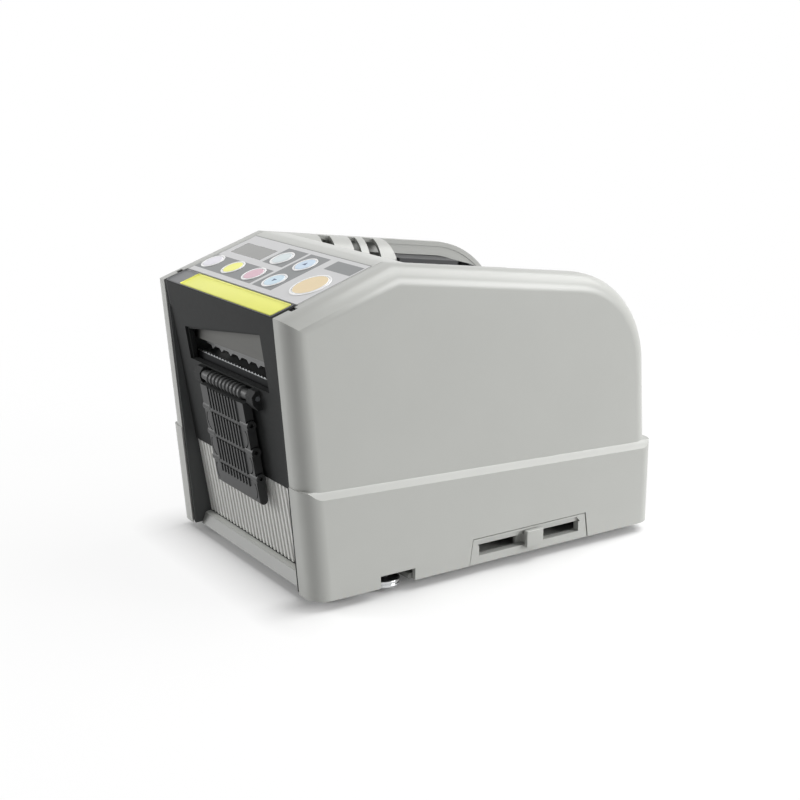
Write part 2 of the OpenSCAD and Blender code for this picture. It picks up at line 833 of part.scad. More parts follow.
module tongue_link_1() {
    half = tongue_w / 2 - seam - side_proud;
    color(cover_black)
        on_tongue() {
            difference() {
                union() {
                    rotate([0, 90, 0])
                        translate([0, 0, -barrel_l / 2])
                            rotate_extrude()
                                polygon(barrel_points);
                    difference() {
                        link_plate(half, 0, link_first, link_first);
                        bar(-half - 1, half + 1, 0, 0, barrel_r - ring_h - eps);
                        side_room(half, link_first);
                        translate([-tongue_w, -2 * barrel_r - link_t, -barrel_r + 0.4])
                            cube([2 * tongue_w, 4 * barrel_r + link_t, 2 * barrel_r]);
                    }
                }
                bar(-tongue_w, tongue_w, 0, 0, ring_bore);
            }
            foot_knuckle(half, link_first);
        }
}

module tongue_link(i) {
    color(cover_black)
        on_tongue()
            link_solid(i);
}

module tongue_link_2() tongue_link(1);
module tongue_link_3() tongue_link(2);
module tongue_link_4() tongue_link(3);

// Control panel
film_start = strip_len + 0.9;
film_end = panel_len - 0.6;
film_half = core_half - 0.8;
row_front = 23.9;
row_rear = 40.8;
row_start = 28;
display_c = [-0.626 * film_half, 40.1];
// Each key's share of the film's half width, place up the slope and radius
key_shares = [
    [-0.869, row_front, key_r], [-0.475, row_front, key_r], [-0.085, row_front, key_r],
    [-0.118, row_rear, key_r], [0.284, row_rear, key_r], [0.284, row_front, key_r],
    [0.761, row_start, start_r]];
key_places = [for (k = key_shares) [k[0] * film_half, k[1], k[2]]];
key_play = 0.3;
frame_t = 2.4;
stem_r = 2.2;
frame_front = strip_len + 0.8;
band_rear = top_start[0] + 12;

module key_holes(play, z0, z1) {
    for (k = key_places)
        translate([k[0], k[1], z0])
            cylinder(r = k[2] + play, h = z1 - z0);
}

module display_cut(play, z0, z1) {
    translate([display_c[0] - display_w / 2 - play, display_c[1] - display_l / 2 - play, z0])
        cube([display_w + 2 * play, display_l + 2 * play, z1 - z0]);
}

// Panel frame with the level band behind the keys
module panel_frame() {
    color(body_grey)
        difference() {
            union() {
                on_panel()
                    translate([-core_half, frame_front, -film_t - frame_t])
                        cube([2 * core_half, panel_len - frame_front, film_t + frame_t]);
                slab(-core_half, core_half, [
                    panel_rear + [-2, -2 - frame_t],
                    panel_rear,
                    top_start,
                    [band_rear, top_z(band_rear)],
                    [band_rear, top_z(band_rear) - 14],
                    [band_rear - wall, top_z(band_rear) - 14],
                    [band_rear - wall, top_z(band_rear) - wall]]);
                for (x = [-1, 1])
                    mirror([x < 0 ? 1 : 0, 0, 0])
                        on_panel()
                            translate([core_half - wall, frame_front, -board_depth - 1])
                                cube([wall, panel_len - frame_front - 2, board_depth]);
            }
            on_panel() {
                translate([-film_half - 0.1, film_start - 0.1, -film_t])
                    cube([2 * film_half + 0.2, film_end - film_start + 0.2, film_t + 1]);
                key_holes(key_play, -film_t - frame_t - 1, 0);
                display_cut(0.1, -film_t - frame_t - 1, 0);
            }
        }
}

module control_overlay() {
    color("#d6d6d8")
        on_panel()
            difference() {
                translate([-film_half, film_start, -film_t])
                    cube([2 * film_half, film_end - film_start, film_t]);
                key_holes(key_play, -film_t - eps, eps);
                display_cut(0, -film_t - eps, eps);
            }
}

module display_window() {
    color("#8e8e8c")
        on_panel()
            difference() {
                union() {
                    display_cut(-0.05, -film_t - frame_t, -0.1);
                    translate([display_c[0] - display_w / 2 - 1.5, display_c[1] - display_l / 2 - 1.5, -film_t - frame_t - 0.8])
                        cube([display_w + 3, display_l + 3, 0.8]);
                }
            }
}

module display_module() {
    color(deep_black)
        on_panel()
            translate([display_c[0] - display_w / 2 + 1, display_c[1] - display_l / 2 + 0.5, -board_depth])
                cube([display_w - 2, display_l - 1, board_depth - film_t - frame_t - 0.8]);
}

board_t = 1.6;
tact_h = 2.2;

module control_board() {
    color("#2f5c3c")
        on_panel()
            union() {
                translate([-core_half + wall + seam, frame_front + 2, -board_depth - board_t])
                    cube([2 * (core_half - wall - seam), panel_len - frame_front - 6, board_t]);
                for (k = key_places)
                    translate([k[0], k[1], -board_depth - eps])
                        cylinder(r = stem_r + 0.4, h = tact_h);
            }
}

module key(i) {
    k = key_places[i];
    stem_foot = -board_depth + tact_h + key_travel + 0.2;
    on_panel()
        translate([k[0], k[1], 0]) {
            translate([0, 0, -film_t - 1.6])
                rotate_extrude()
                    polygon([[0, 0], [k[2], 0], [k[2], film_t + 1.6], [k[2] - 0.6, film_t + 1.6 + key_proud], [0, film_t + 1.6 + key_proud]]);
            translate([0, 0, stem_foot])
                cylinder(r = stem_r, h = -stem_foot - film_t - 1);
        }
}

module key_lilac() color("#dcd9e6") key(0);
module key_yellow() color("#f0ee5a") key(1);
module key_pink() color("#e0a3b4") key(2);
module key_pale() color("#d3dfdf") key(3);
module key_blue_rear() color("#b9d3ee") key(4);
module key_blue_front() color("#b9d8ea") key(5);
module start_key() color("#dcc096") key(6);

// Top deck: vented shoulders down to the tape channel
deck_t = 2.2;
deck_front = band_rear + seam;
deck_rear = well_front;
vent_ws = [6.4, 4, 6.4];
vent_ys = [-14, 2.4, 12.4];
vent_tilt = 14;
channel_in = core_half - shoulder_r;

module deck_side() {
    drop = top_z(deck_rear) - 12;
    difference() {
        intersection() {
            translate([0, deck_front, top_z(deck_front)])
                rotate([-90 - top_fall, 0, 0])
                    linear_extrude((deck_rear - deck_front) / cos(top_fall) + 6)
                        difference() {
                            union() {
                                translate([core_half, shoulder_r])
                                    circle(r = shoulder_r);
                                translate([channel_in, shoulder_r])
                                    square([deck_t, 14]);
                            }
                            translate([core_half, shoulder_r])
                                circle(r = shoulder_r - deck_t);
                            translate([channel_in + deck_t, shoulder_r])
                                square([2 * shoulder_r, 3 * shoulder_r]);
                            translate([core_half, -1])
                                square([3 * shoulder_r, 5 * shoulder_r]);
                        }
            translate([0, deck_front, 0])
                cube([core_half, deck_rear - deck_front, body_w * 2]);
        }
        for (i = [0:2])
            translate([core_half, vent_ys[i], top_z(vent_ys[i]) - shoulder_r])
                rotate([0, 0, vent_tilt])
                    translate([-2 * shoulder_r, -vent_ws[i] / 2, 1.4])
                        cube([2 * shoulder_r - 1.4, vent_ws[i], 2 * shoulder_r]);
    }
}

module top_deck() {
    color(body_grey)
        union() {
            deck_side();
            mirror([1, 0, 0])
                deck_side();
            translate([-core_half, deck_front, top_z(deck_front) - deck_step - deck_t])
                cube([2 * core_half, 8, deck_t]);
        }
}
deck_step = 24;

// Well liner: the dark tub around the tape roll
liner_t = 2;
liner_half = channel_half + plate_t + liner_t;
liner_in = liner_half - liner_t;
liner_floor = floor_top + 10;
liner_rear = rear_face - tan(rear_lean) * rear_panel_h - wall - seam - 1;

function liner_top(d) = shell_outline(flange_depth + d);

module liner_wall() {
    difference() {
        intersection() {
            union() {
                slab(liner_in, liner_half, shell_outline(flange_depth + seam));
                difference() {
                    slab(liner_in, lip_in - seam, shell_outline(flange_depth + seam));
                    slab(liner_in - 1, lip_in, shell_outline(flange_depth + seam + liner_t));
                }
            }
            translate([0, well_front + seam, liner_floor])
                cube([body_w, liner_rear - well_front - seam, body_w * 2]);
        }
        translate([0, well_front, liner_floor + rear_panel_h - 14])
            mirror([0, 0, 1])
                translate([liner_half, 0, 0])
                    cube([body_w, rear_reach, body_w]);
    }
}

module well_liner() {
    color("#4b4d50")
        difference() {
            union() {
                liner_wall();
                mirror([1, 0, 0])
                    liner_wall();
                translate([-liner_half, well_front + seam, liner_floor])
                    cube([2 * liner_half, liner_rear - well_front - seam, liner_t]);
                translate([-liner_half, liner_rear - liner_t, liner_floor])
                    cube([2 * liner_half, liner_t, rear_panel_h - 12]);
                translate([-liner_half, well_front + seam, liner_floor])
                    cube([2 * liner_half, liner_t, path_z - 16 - liner_floor]);
                for (x = [-1, 1], y = [well_front + 10, liner_rear - 10])
                    translate([x * (liner_half - 6), y, floor_top])
                        cylinder(r = 4, h = liner_floor - floor_top + eps);
            }
            for (s = [0, 1])
                mirror([s, 0, 0])
                    reel_notch(liner_in - 1, reel_end + 1, 0.6);
        }
}

// Slot in which the reel shaft drops
module reel_notch(x0, x1, play) {
    bar(x0, x1, reel_y, reel_z, reel_shaft_d / 2 + play);
    translate([x0, reel_y - reel_shaft_d / 2 - play, reel_z])
        cube([x1 - x0, reel_shaft_d + 2 * play, body_w]);
}

module reel_brackets() {
    color(steel)
        for (s = [0, 1])
            mirror([s, 0, 0])
                difference() {
                    translate([liner_half, reel_y - 14, liner_floor + 8])
                        cube([plate_t, 28, reel_z - liner_floor + 6]);
                    reel_notch(liner_half - 1, liner_half + plate_t + 1, run);
                }
}

// Reel
reel_end = liner_half + plate_t + 4;
hub_bore_r = reel_shaft_d / 2 + run;

module reel_shaft() {
    color(steel)
        union() {
            bar(-reel_end, reel_end, reel_y, reel_z, reel_shaft_d / 2);
            for (s = [-1, 1])
                bar(s * (hub_w / 2 + 1.6) - 0.9, s * (hub_w / 2 + 1.6) + 0.9, reel_y, reel_z, reel_shaft_d / 2 + 2);
        }
}

hub_wall = 2.2;
hub_boss_r = 6;
spoke_t = 1.8;

module hub_half() {
    difference() {
        union() {
            difference() {
                bar(seam / 2, hub_w / 2, reel_y, reel_z, hub_r);
                bar(-1, hub_w, reel_y, reel_z, hub_r - hub_wall);
            }
            bar(seam / 2, hub_w / 2, reel_y, reel_z, hub_boss_r);
            for (a = [0:60:300])
                translate([0, reel_y, reel_z])
                    rotate([a, 0, 0])
                        translate([seam / 2 + 4, -spoke_t / 2, hub_boss_r - 1])
                            cube([hub_w / 2 - 8, spoke_t, hub_r - hub_wall - hub_boss_r + 2]);
        }
        bar(-1, hub_w, reel_y, reel_z, hub_bore_r);
    }
}

module reel_hub_right() color("#e9e9e6") hub_half();
module reel_hub_left() color("#e9e9e6") mirror([1, 0, 0]) hub_half();

// Chassis plates and the feed unit
roller_y = -roller_reach;
feed_z = path_z - nip / 2 - feed_r;
pinch_z = path_z + nip / 2 + pinch_r;
chassis_front = -blade_reach + chassis_back;
chassis_top = pinch_z + pinch_r + 4;
plate_out = channel_half + plate_t;
bush_r = shaft_d / 2 + 2.4;
gear_x = plate_out + 2;
mesh = 0.12;

feed_c = [roller_y, feed_z];
idler_c = polar(feed_c, gear_m * (feed_teeth + idler_teeth) / 2 + mesh, idler_turn);
motor_c = polar(idler_c, gear_m * (idler_teeth + pinion_teeth) / 2 + mesh, motor_turn);
idler_phase = idler_turn + 180 + 180 / idler_teeth;
motor_phase = motor_turn + 180 + 180 / pinion_teeth - (idler_phase - motor_turn) * idler_teeth / pinion_teeth;
feed_phase = idler_turn;
tie_r = 3;
tie_places = [[chassis_front + 8, floor_top + 20], [-8, floor_top + 20], [-4, path_z - 22]];
stud_r = 2.5;

module chassis_outline_cut() {
    for (p = [[feed_c, bush_r], [[roller_y, pinch_z], bush_r]])
        bar(channel_half - 1, plate_out + 1, p[0][0], p[0][1], p[1]);
    for (p = tie_places)
        bar(channel_half - 1, plate_out + 1, p[0], p[1], tie_r - 1);
}

module chassis_plate() {
    difference() {
        union() {
            slab(channel_half, plate_out, [
                [chassis_front, floor_top], [well_front - 1, floor_top], [well_front - 1, path_z - 12],
                [roller_y + 26, path_z - 4], [roller_y + 14, chassis_top], [chassis_front, chassis_top]]);
            translate([channel_half - 10 + eps, chassis_front + 12, floor_top])
                cube([10, well_front - chassis_front - 20, plate_t]);
        }
        chassis_outline_cut();
    }
}

module chassis_right() {
    color(steel)
        difference() {
            chassis_plate();
            bar(channel_half - 1, plate_out + 1, motor_c[0], motor_c[1], motor_d / 4);
            bar(channel_half - 1, plate_out + 1, idler_c[0], idler_c[1], stud_r - 0.8);
        }
}

module chassis_left() {
    color(steel)
        mirror([1, 0, 0])
            chassis_plate();
}

module tie_bars() {
    color(steel)
        for (p = tie_places) {
            bar(-channel_half, channel_half, p[0], p[1], tie_r);
            bar(-plate_out, plate_out, p[0], p[1], tie_r - 1 - 0.02);
        }
}

module roller_bushes() {
    color("#c8a35a")
        for (s = [0, 1], z = [feed_z, pinch_z])
            mirror([s, 0, 0])
                difference() {
                    union() {
                        bar(channel_half - 1.2, plate_out + 1, roller_y, z, bush_r - 0.02);
                        bar(channel_half - 1.2, channel_half, roller_y, z, bush_r + 1);
                    }
                    bar(channel_half - 5, plate_out + 5, roller_y, z, shaft_d / 2 + run);
                }
}

roller_half = channel_half - 3;

module feed_shaft() {
    color(steel)
        bar(-plate_out - 3, gear_x + gear_w + 2, roller_y, feed_z, shaft_d / 2);
}

// Rubber roller with grooves that keep the tape from sticking
module grooved_roller(z, r, grooves) {
    pitch = 2 * roller_half / grooves;
    translate([-roller_half, roller_y, z])
        rotate([0, 90, 0])
            rotate_extrude()
                polygon(concat(
                    [[shaft_d / 2, 0], [r, 0]],
                    [for (i = [1:grooves - 1], k = [0:3])
                        [k == 0 || k == 3 ? r : r - 1.2, i * pitch + [-0.8, -0.5, 0.5, 0.8][k]]],
                    [[r, 2 * roller_half], [shaft_d / 2, 2 * roller_half]]));
}

module feed_roller() color("#3b3b3b") grooved_roller(feed_z, feed_r, 10);
module pinch_roller() color("#dedcd2") grooved_roller(pinch_z, pinch_r, 14);

module pinch_shaft() {
    color(steel)
        bar(-plate_out - 3, plate_out + 3, roller_y, pinch_z, shaft_d / 2);
}

// Involute gear outline
press = 20;
backlash = 0.35;
function inv_deg(a) = tan(a) * 180 / PI - a;
function tooth_half(m, n, r) =
    let (rp = m * n / 2, rb = rp * cos(press), a = acos(min(1, rb / r)))
    90 / n - backlash * 90 / (PI * rp) - inv_deg(a) + inv_deg(press);
function gear_points(m, n, phase) =
    let (rp = m * n / 2, rb = rp * cos(press), rf = rp - 1.2 * m, ra = rp + 0.9 * m, r0 = max(rb, rf + 0.15 * m), steps = 3)
    [for (i = [0:n - 1])
        let (c = phase + i * 360 / n,
            radii = [for (k = [0:steps]) r0 + (ra - r0) * k / steps],
            left = [for (r = radii) polar([0, 0], r, c - tooth_half(m, n, r))],
            right = [for (k = [steps:-1:0]) polar([0, 0], radii[k], c + tooth_half(m, n, radii[k]))])
        each concat([polar([0, 0], rf, c - tooth_half(m, n, r0))], left, right, [polar([0, 0], rf, c + tooth_half(m, n, r0))])];

module gear(c, n, phase, bore) {
    difference() {
        translate([gear_x, c[0], c[1]])
            rotate([90, 0, 90])
                linear_extrude(gear_w)
                    polygon(gear_points(gear_m, n, phase));
        bar(gear_x - 1, gear_x + gear_w + 1, c[0], c[1], bore);
        if (n > 20)
            translate([0, c[0], c[1]])
                rotate([0, 90, 0])
                    translate([0, 0, gear_x + gear_w - 1.5])
                        difference() {
                            cylinder(r = gear_m * n / 2 - 3, h = 3);
                            translate([0, 0, -1])
                                cylinder(r = bore + 3, h = 5);
                        }
    }
}

module feed_gear() color(gear_white) gear(feed_c, feed_teeth, feed_phase, shaft_d / 2);
module idler_gear() color(gear_white) gear(idler_c, idler_teeth, idler_phase, stud_r + run);

motor_shaft_r = 1.5;
module motor_pinion() {
    color("#c9a55c")
        union() {
            gear(motor_c, pinion_teeth, motor_phase, motor_shaft_r - 0.3);
            bar(plate_out + 0.3, gear_x + gear_w + 1, motor_c[0], motor_c[1], motor_shaft_r);
        }
}

module idler_stud() {
    color(steel)
        union() {
            bar(channel_half, plate_out, idler_c[0], idler_c[1], stud_r - 0.82);
            bar(plate_out, gear_x + gear_w + 1.4, idler_c[0], idler_c[1], stud_r);
            bar(plate_out, gear_x - 0.3, idler_c[0], idler_c[1], stud_r + 2);
            bar(gear_x + gear_w + 0.3, gear_x + gear_w + 1.4, idler_c[0], idler_c[1], stud_r + 1.5);
        }
}

motor_len = 46;
module feed_motor() {
    color("#8b8e91")
        union() {
            bar(channel_half - motor_len, channel_half, motor_c[0], motor_c[1], motor_d / 2);
            bar(channel_half - eps, plate_out, motor_c[0], motor_c[1], motor_d / 4 - 0.05);
            bar(channel_half - motor_len - 3, channel_half - motor_len + eps, motor_c[0], motor_c[1], 5);
        }
}

guide_t = 1;
guide_half = channel_half - 0.4;

// Lower tape guide on both sides of the roller
module lower_guide() {
    color(steel)
        union() {
            slab(-guide_half, guide_half, [
                [roller_y + feed_r + 1, path_z - 1.2], [well_front - 4, path_z - 13],
                [well_front - 4, path_z - 13 - guide_t], [roller_y + feed_r + 1, path_z - 1.2 - guide_t]]);
            for (s = [0, 1])
                mirror([s, 0, 0])
                    translate([guide_half - guide_t, roller_y + feed_r + 4, path_z - 18])
                        cube([guide_t + 0.4, 30, 15]);
        }
}

// Outlet guide over the tape: a bar with three cornered fingers
finger_count = 7;
module upper_guide() {
    y0 = blade_y + blade_t + 0.3;
    y1 = roller_y - pinch_r - 0.6;
    z0 = path_z + 1.4;
    pitch = (2 * guide_half - 4) / finger_count;
    color("#38393a")
        union() {
            slab(-guide_half, guide_half, [[y0, z0 + 1.6], [y1, z0 + 2.4], [y1, z0 + 4.4], [y0, z0 + 4.4]]);
            for (i = [0:finger_count - 1])
                translate([-guide_half + 2 + (i + 0.5) * pitch, y0, z0 + 2])
                    rotate([-90, 0, 0])
                        linear_extrude(y1 - y0)
                            polygon([[-pitch * 0.3, 0], [pitch * 0.3, 0], [0, 2]]);
            for (s = [0, 1])
                mirror([s, 0, 0])
                    translate([guide_half - guide_t, chassis_front + 0.5, z0 + 2.5])
                        cube([guide_t + 0.4, 5, 8]);
        }
}

// Cutter
blade_y = -blade_reach;
blade_half = channel_half + 6.6;
serration = 3;
blade_h = 9;
blade_gap = 0.15;
carrier_low = path_z + 21;
carrier_h = 8;
carrier_t = 2.2;
rack_x = -channel_half - 12;
rack_w = 5;
rack_y = blade_y + 3.2;
cutter_c = [rack_y + gear_m * cutter_teeth / 2 + mesh, carrier_low - 4];

// Lower blade: a plate with a serrated upper edge
module fixed_blade() {
    count = floor(2 * blade_half / serration);
    color("#d8dade")
        translate([0, blade_y + blade_t, 0])
            rotate([90, 0, 0])
                linear_extrude(blade_t)
                    polygon(concat(
                        [[-blade_half, path_z - blade_h], [blade_half, path_z - blade_h]],
                        [for (i = [count:-1:0], k = [1, 0])
                            [-blade_half + min(2 * blade_half, (i + k / 2) * serration), path_z - 0.6 - (k == 1 ? 0.9 : 0)]]));
}

module moving_blade() {
    color("#d8dade")
        translate([0, blade_y - blade_gap, 0])
            rotate([90, 0, 0])
                linear_extrude(blade_t)
                    polygon([
                        [-blade_half, path_z + blade_lift], [blade_half, path_z + blade_lift + blade_shear],
                        [blade_half, carrier_low + carrier_h - 2], [-blade_half, carrier_low + carrier_h - 2]]);
}

function rack_points(first, last) =
    let (p = PI * gear_m, h = p / 4 - backlash / 2)
    [for (i = [first:last])
        each [[-1.2 * gear_m, i * p + p / 2 - h - 1.2 * gear_m * tan(press)],
            [0.9 * gear_m, i * p + p / 2 - h + 0.9 * gear_m * tan(press)],
            [0.9 * gear_m, i * p + p / 2 + h - 0.9 * gear_m * tan(press)],
            [-1.2 * gear_m, i * p + p / 2 + h + 1.2 * gear_m * tan(press)]]];

// Rack teeth below and above the pinion at rest
rack_first = -2;
rack_last = 3;

module blade_carrier() {
    front = blade_y - blade_gap - blade_t;
    color("#46484a")
        union() {
            translate([rack_x, front - carrier_t, carrier_low])
                cube([-rack_x + blade_half + 6, carrier_t, carrier_h]);
            translate([rack_x, front - 1, carrier_low])
                cube([rack_w, rack_y - 2 - front, carrier_h]);
            translate([rack_x, rack_y, cutter_c[1]])
                rotate([90, 0, 90])
                    linear_extrude(rack_w)
                        polygon(concat(
                            [[-3.4, (rack_last + 1) * PI * gear_m], [-3.4, rack_first * PI * gear_m]],
                            rack_points(rack_first, rack_last)));
        }
}

module cutter_pinion() {
    color("#c9a55c")
        union() {
            translate([rack_x, cutter_c[0], cutter_c[1]])
                rotate([90, 0, 90])
                    linear_extrude(rack_w)
                        polygon(gear_points(gear_m, cutter_teeth, 180));
            bar(rack_x - 3, rack_x + rack_w + 2, cutter_c[0], cutter_c[1], motor_shaft_r);
        }
}

// Everything before a plane behind the cover's face
module face_room() {
    depth = tunnel_depth + 2 * seam;
    slab(-body_w, body_w, [
        face_pt(-body_w, depth), face_pt(-body_w, -body_w), face_pt(2 * body_w, -body_w), face_pt(2 * body_w, depth)]);
}

// Frame that carries the lower blade and guides the carrier
rail_w = 4;
rail_x = blade_half + 6 + 0.2;
module cutter_frame() {
    front = blade_y - blade_gap - blade_t;
    color("#5a5c5e")
        difference() {
            union() {
                translate([-blade_half - 2, blade_y + blade_t, path_z - 18])
                    cube([2 * blade_half + 4, chassis_front - blade_y - blade_t, 16]);
                for (x = [rail_x, rack_x - 0.2 - rail_w])
                    translate([x, front - 4, path_z - 18])
                        cube([rail_w, chassis_front - front + 4, chassis_top - path_z + 18]);
                translate([rack_x - 0.2 - rail_w, front - 4, path_z - 22])
                    cube([rail_x - rack_x + 2 * rail_w + 0.2, chassis_front - front + 4, 4]);
                translate([-guide_half + 0.2, chassis_front - 1, path_z - 5])
                    cube([2 * guide_half - 0.4, roller_y - feed_r - chassis_front, 2.6]);
            }
            bar(rack_x - 20, rack_x, cutter_c[0], cutter_c[1], motor_shaft_r + 0.3);
            face_room();
        }
}

cutter_motor_r = 9;
module cutter_motor() {
    x1 = rack_x - 0.2 - rail_w;
    color("#8b8e91")
        difference() {
            bar(x1 - 12, x1, cutter_c[0], cutter_c[1], cutter_motor_r);
            bar(x1 - 5, x1 + 1, cutter_c[0], cutter_c[1], motor_shaft_r + run);
        }
}

// Main board on the base floor
module main_board() {
    color("#2f5c3c")
        union() {
            translate([-30, motor_c[0] + motor_d / 2 + 6, floor_top + 4])
                cube([60, 34, board_t]);
            for (x = [-20, 20], y = [4, 30])
                translate([x, motor_c[0] + motor_d / 2 + 6 + y, floor_top])
                    cylinder(r = 2.5, h = 4 + eps);
            translate([-18, motor_c[0] + motor_d / 2 + 14, floor_top + 4 + board_t - eps])
                cube([14, 18, 8]);
            translate([8, motor_c[0] + motor_d / 2 + 14, floor_top + 4 + board_t - eps])
                cylinder(r = 5, h = 12);
        }
}

// Side controls
slide_x = shell_out - wall;
slot_z = ground_gap + 4;
slot_front = slide_front + 5.5;
slot_rear = slide_rear - 6;
slide_play = 0.15;
slide_flange = 4;
flange_t = 1.4;
knob_inner_x = slide_x - 4;
knob_y = slide_front + slide_len / 2 + 1;

module slide_plate() {
    color(pale_grey)
        difference() {
            union() {
                slab(slide_x - flange_t, shell_out - seam, slide_outline(-seam / 2));
                slab(slide_x - flange_t, slide_x - seam / 2, [
                    [slide_front - slide_flange, ground_gap],
                    [slide_front - slide_flange, ground_gap + slide_h + slide_flange],
                    [slide_rear + slide_flange, ground_gap + slide_h + slide_flange],
                    [slide_rear + slide_flange, ground_gap]]);
            }
            translate([slide_x - 3, slot_front, slot_z])
                cube([wall + 6, slot_rear - slot_front, slot_h]);
            slab(shell_out - 1.6, shell_out + 1, [
                [slot_front - 1, slot_z + slot_h - eps], [slot_front + 1, slot_z + slot_h + 2.4],
                [slot_rear - 1, slot_z + slot_h + 2.4], [slot_rear + 1, slot_z + slot_h - eps]]);
            translate([slide_x - 10, slide_front - 10, -1])
                cube([20, slide_len + 20, ground_gap + 1]);
        }
}

module slide_knob() {
    color(pale_grey)
        union() {
            translate([shell_out - 0.2, knob_y - knob_l / 2, slot_z - 1])
                cube([knob_out + 0.2, knob_l, slot_h + 3.4]);
            translate([slide_x - 1.6, knob_y - knob_l / 2 + 1, slot_z + slide_play])
                cube([shell_out - slide_x + 1.6, knob_l - 2, slot_h - 2 * slide_play]);
            translate([knob_inner_x, knob_y - knob_l / 2 - 2, slot_z - 1.5])
                cube([slide_x - flange_t - knob_inner_x - slide_play, knob_l + 4, slot_h + 3]);
        }
}

thumb_x = shell_out - wall - thumb_r - 0.8;
thumb_h = 3.4;
thumb_low = ground_gap - 2.6;
thumb_stem_r = 2;

module thumb_wheel() {
    color("#d9dadb")
        translate([thumb_x, -thumb_reach, thumb_low])
            rotate_extrude()
                polygon([
                    [0, 0], [thumb_r - 0.4, 0], [thumb_r, 0.4], [thumb_r, 1.3], [thumb_r - 0.4, 1.5], [thumb_r - 0.4, 1.9],
                    [thumb_r, 2.1], [thumb_r, thumb_h - 0.4], [thumb_r - 0.4, thumb_h], [thumb_stem_r, thumb_h],
                    [thumb_stem_r, thumb_h + 8], [0, thumb_h + 8]]);
}

// Bracket over the thumb wheel, standing on the base floor
module thumb_bracket() {
    z0 = floor_top + 1;
    color(body_grey)
        difference() {
            union() {
                translate([thumb_x - thumb_r - 6, -thumb_reach - 7, z0])
                    cube([thumb_r + 6 + thumb_r * 0.6, 14, 3]);
                translate([thumb_x - thumb_r - 6, -thumb_reach - 7, floor_top])
                    cube([4, 14, z0 - floor_top + eps]);
            }
            translate([thumb_x, -thumb_reach, z0 - 1])
                cylinder(r = thumb_stem_r + run, h = 6);
        }
}

// The row frame's origin lies halfway along the machine
translate([0, -(rear_reach + panel_foot[0]) / 2, 0]) {
    base_tray();
    rubber_feet();
    housing_screws();
    rear_panel();
    right_shell();
    left_shell();
    ribbed_panel();
    panel_frame();
    control_overlay();
    display_window();
    display_module();
    control_board();
    key_lilac();
    key_yellow();
    key_pink();
    key_pale();
    key_blue_rear();
    key_blue_front();
    start_key();
    top_deck();
    well_liner();
    reel_brackets();
    reel_shaft();
    reel_hub_right();
    reel_hub_left();
    front_cover();
    tongue_pin();
    tongue_link_1();
    tongue_link_2();
    tongue_link_3();
    tongue_link_4();
    chassis_right();
    chassis_left();
    tie_bars();
    roller_bushes();
    feed_shaft();
    feed_roller();
    feed_gear();
    pinch_shaft();
    pinch_roller();
    idler_stud();
    idler_gear();
    feed_motor();
    motor_pinion();
    lower_guide();
    upper_guide();
    fixed_blade();
    moving_blade();
    blade_carrier();
    cutter_frame();
    cutter_motor();
    cutter_pinion();
    main_board();
    slide_plate();
    slide_knob();
    thumb_wheel();
    thumb_bracket();
    power_inlet();
    switch_bezel();
    power_rocker();
}
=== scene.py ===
import json
import math

import bpy
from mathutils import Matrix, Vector


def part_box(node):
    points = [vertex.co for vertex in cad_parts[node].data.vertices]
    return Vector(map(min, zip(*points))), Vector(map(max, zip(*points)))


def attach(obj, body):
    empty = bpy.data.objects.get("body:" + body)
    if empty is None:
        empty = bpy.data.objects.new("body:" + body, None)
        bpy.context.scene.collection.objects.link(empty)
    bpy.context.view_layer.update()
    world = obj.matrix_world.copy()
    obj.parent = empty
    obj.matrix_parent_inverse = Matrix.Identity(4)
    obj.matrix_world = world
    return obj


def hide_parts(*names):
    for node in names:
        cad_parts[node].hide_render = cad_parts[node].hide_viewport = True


bl_info = {
    "name": "Electric Tape Dispenser",
    "version": (1, 0, 0),
    "blender": (4, 5, 0),
    "location": "View3D > Sidebar > Tape Dispenser",
    "description": "Dresses the electric tape dispenser's frame and sets its studio",
    "category": "Object",
}

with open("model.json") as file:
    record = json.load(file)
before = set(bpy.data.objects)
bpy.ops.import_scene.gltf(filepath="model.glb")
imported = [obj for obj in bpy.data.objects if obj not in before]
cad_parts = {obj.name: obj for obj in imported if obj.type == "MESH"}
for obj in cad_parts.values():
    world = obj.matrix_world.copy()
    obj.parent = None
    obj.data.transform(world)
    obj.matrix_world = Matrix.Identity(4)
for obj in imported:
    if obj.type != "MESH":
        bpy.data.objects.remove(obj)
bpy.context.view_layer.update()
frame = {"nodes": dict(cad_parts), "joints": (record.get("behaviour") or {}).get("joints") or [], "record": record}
MM = 0.001

# Faces that meet at a sharper angle than this keep their edge, degrees
SMOOTH_ANGLE = 32.0


def hue(code):
    """A linear colour from the written six digit form."""
    parts = [int(code[i:i + 2], 16) / 255.0 for i in (1, 3, 5)]
    return [c / 12.92 if c <= 0.04045 else ((c + 0.055) / 1.055) ** 2.4 for c in parts]


def colour_prop(name, code, about):
    """A colour that the user can change."""
    return bpy.props.FloatVectorProperty(
        name=name, description=about, subtype="COLOR", size=3, min=0.0, max=1.0,
        default=hue(code))


def length_prop(name, millimetres, about):
    """A length that the user can change."""
    return bpy.props.FloatProperty(
        name=name, description=about, default=millimetres * MM, min=0.0, unit="LENGTH",
        precision=5)


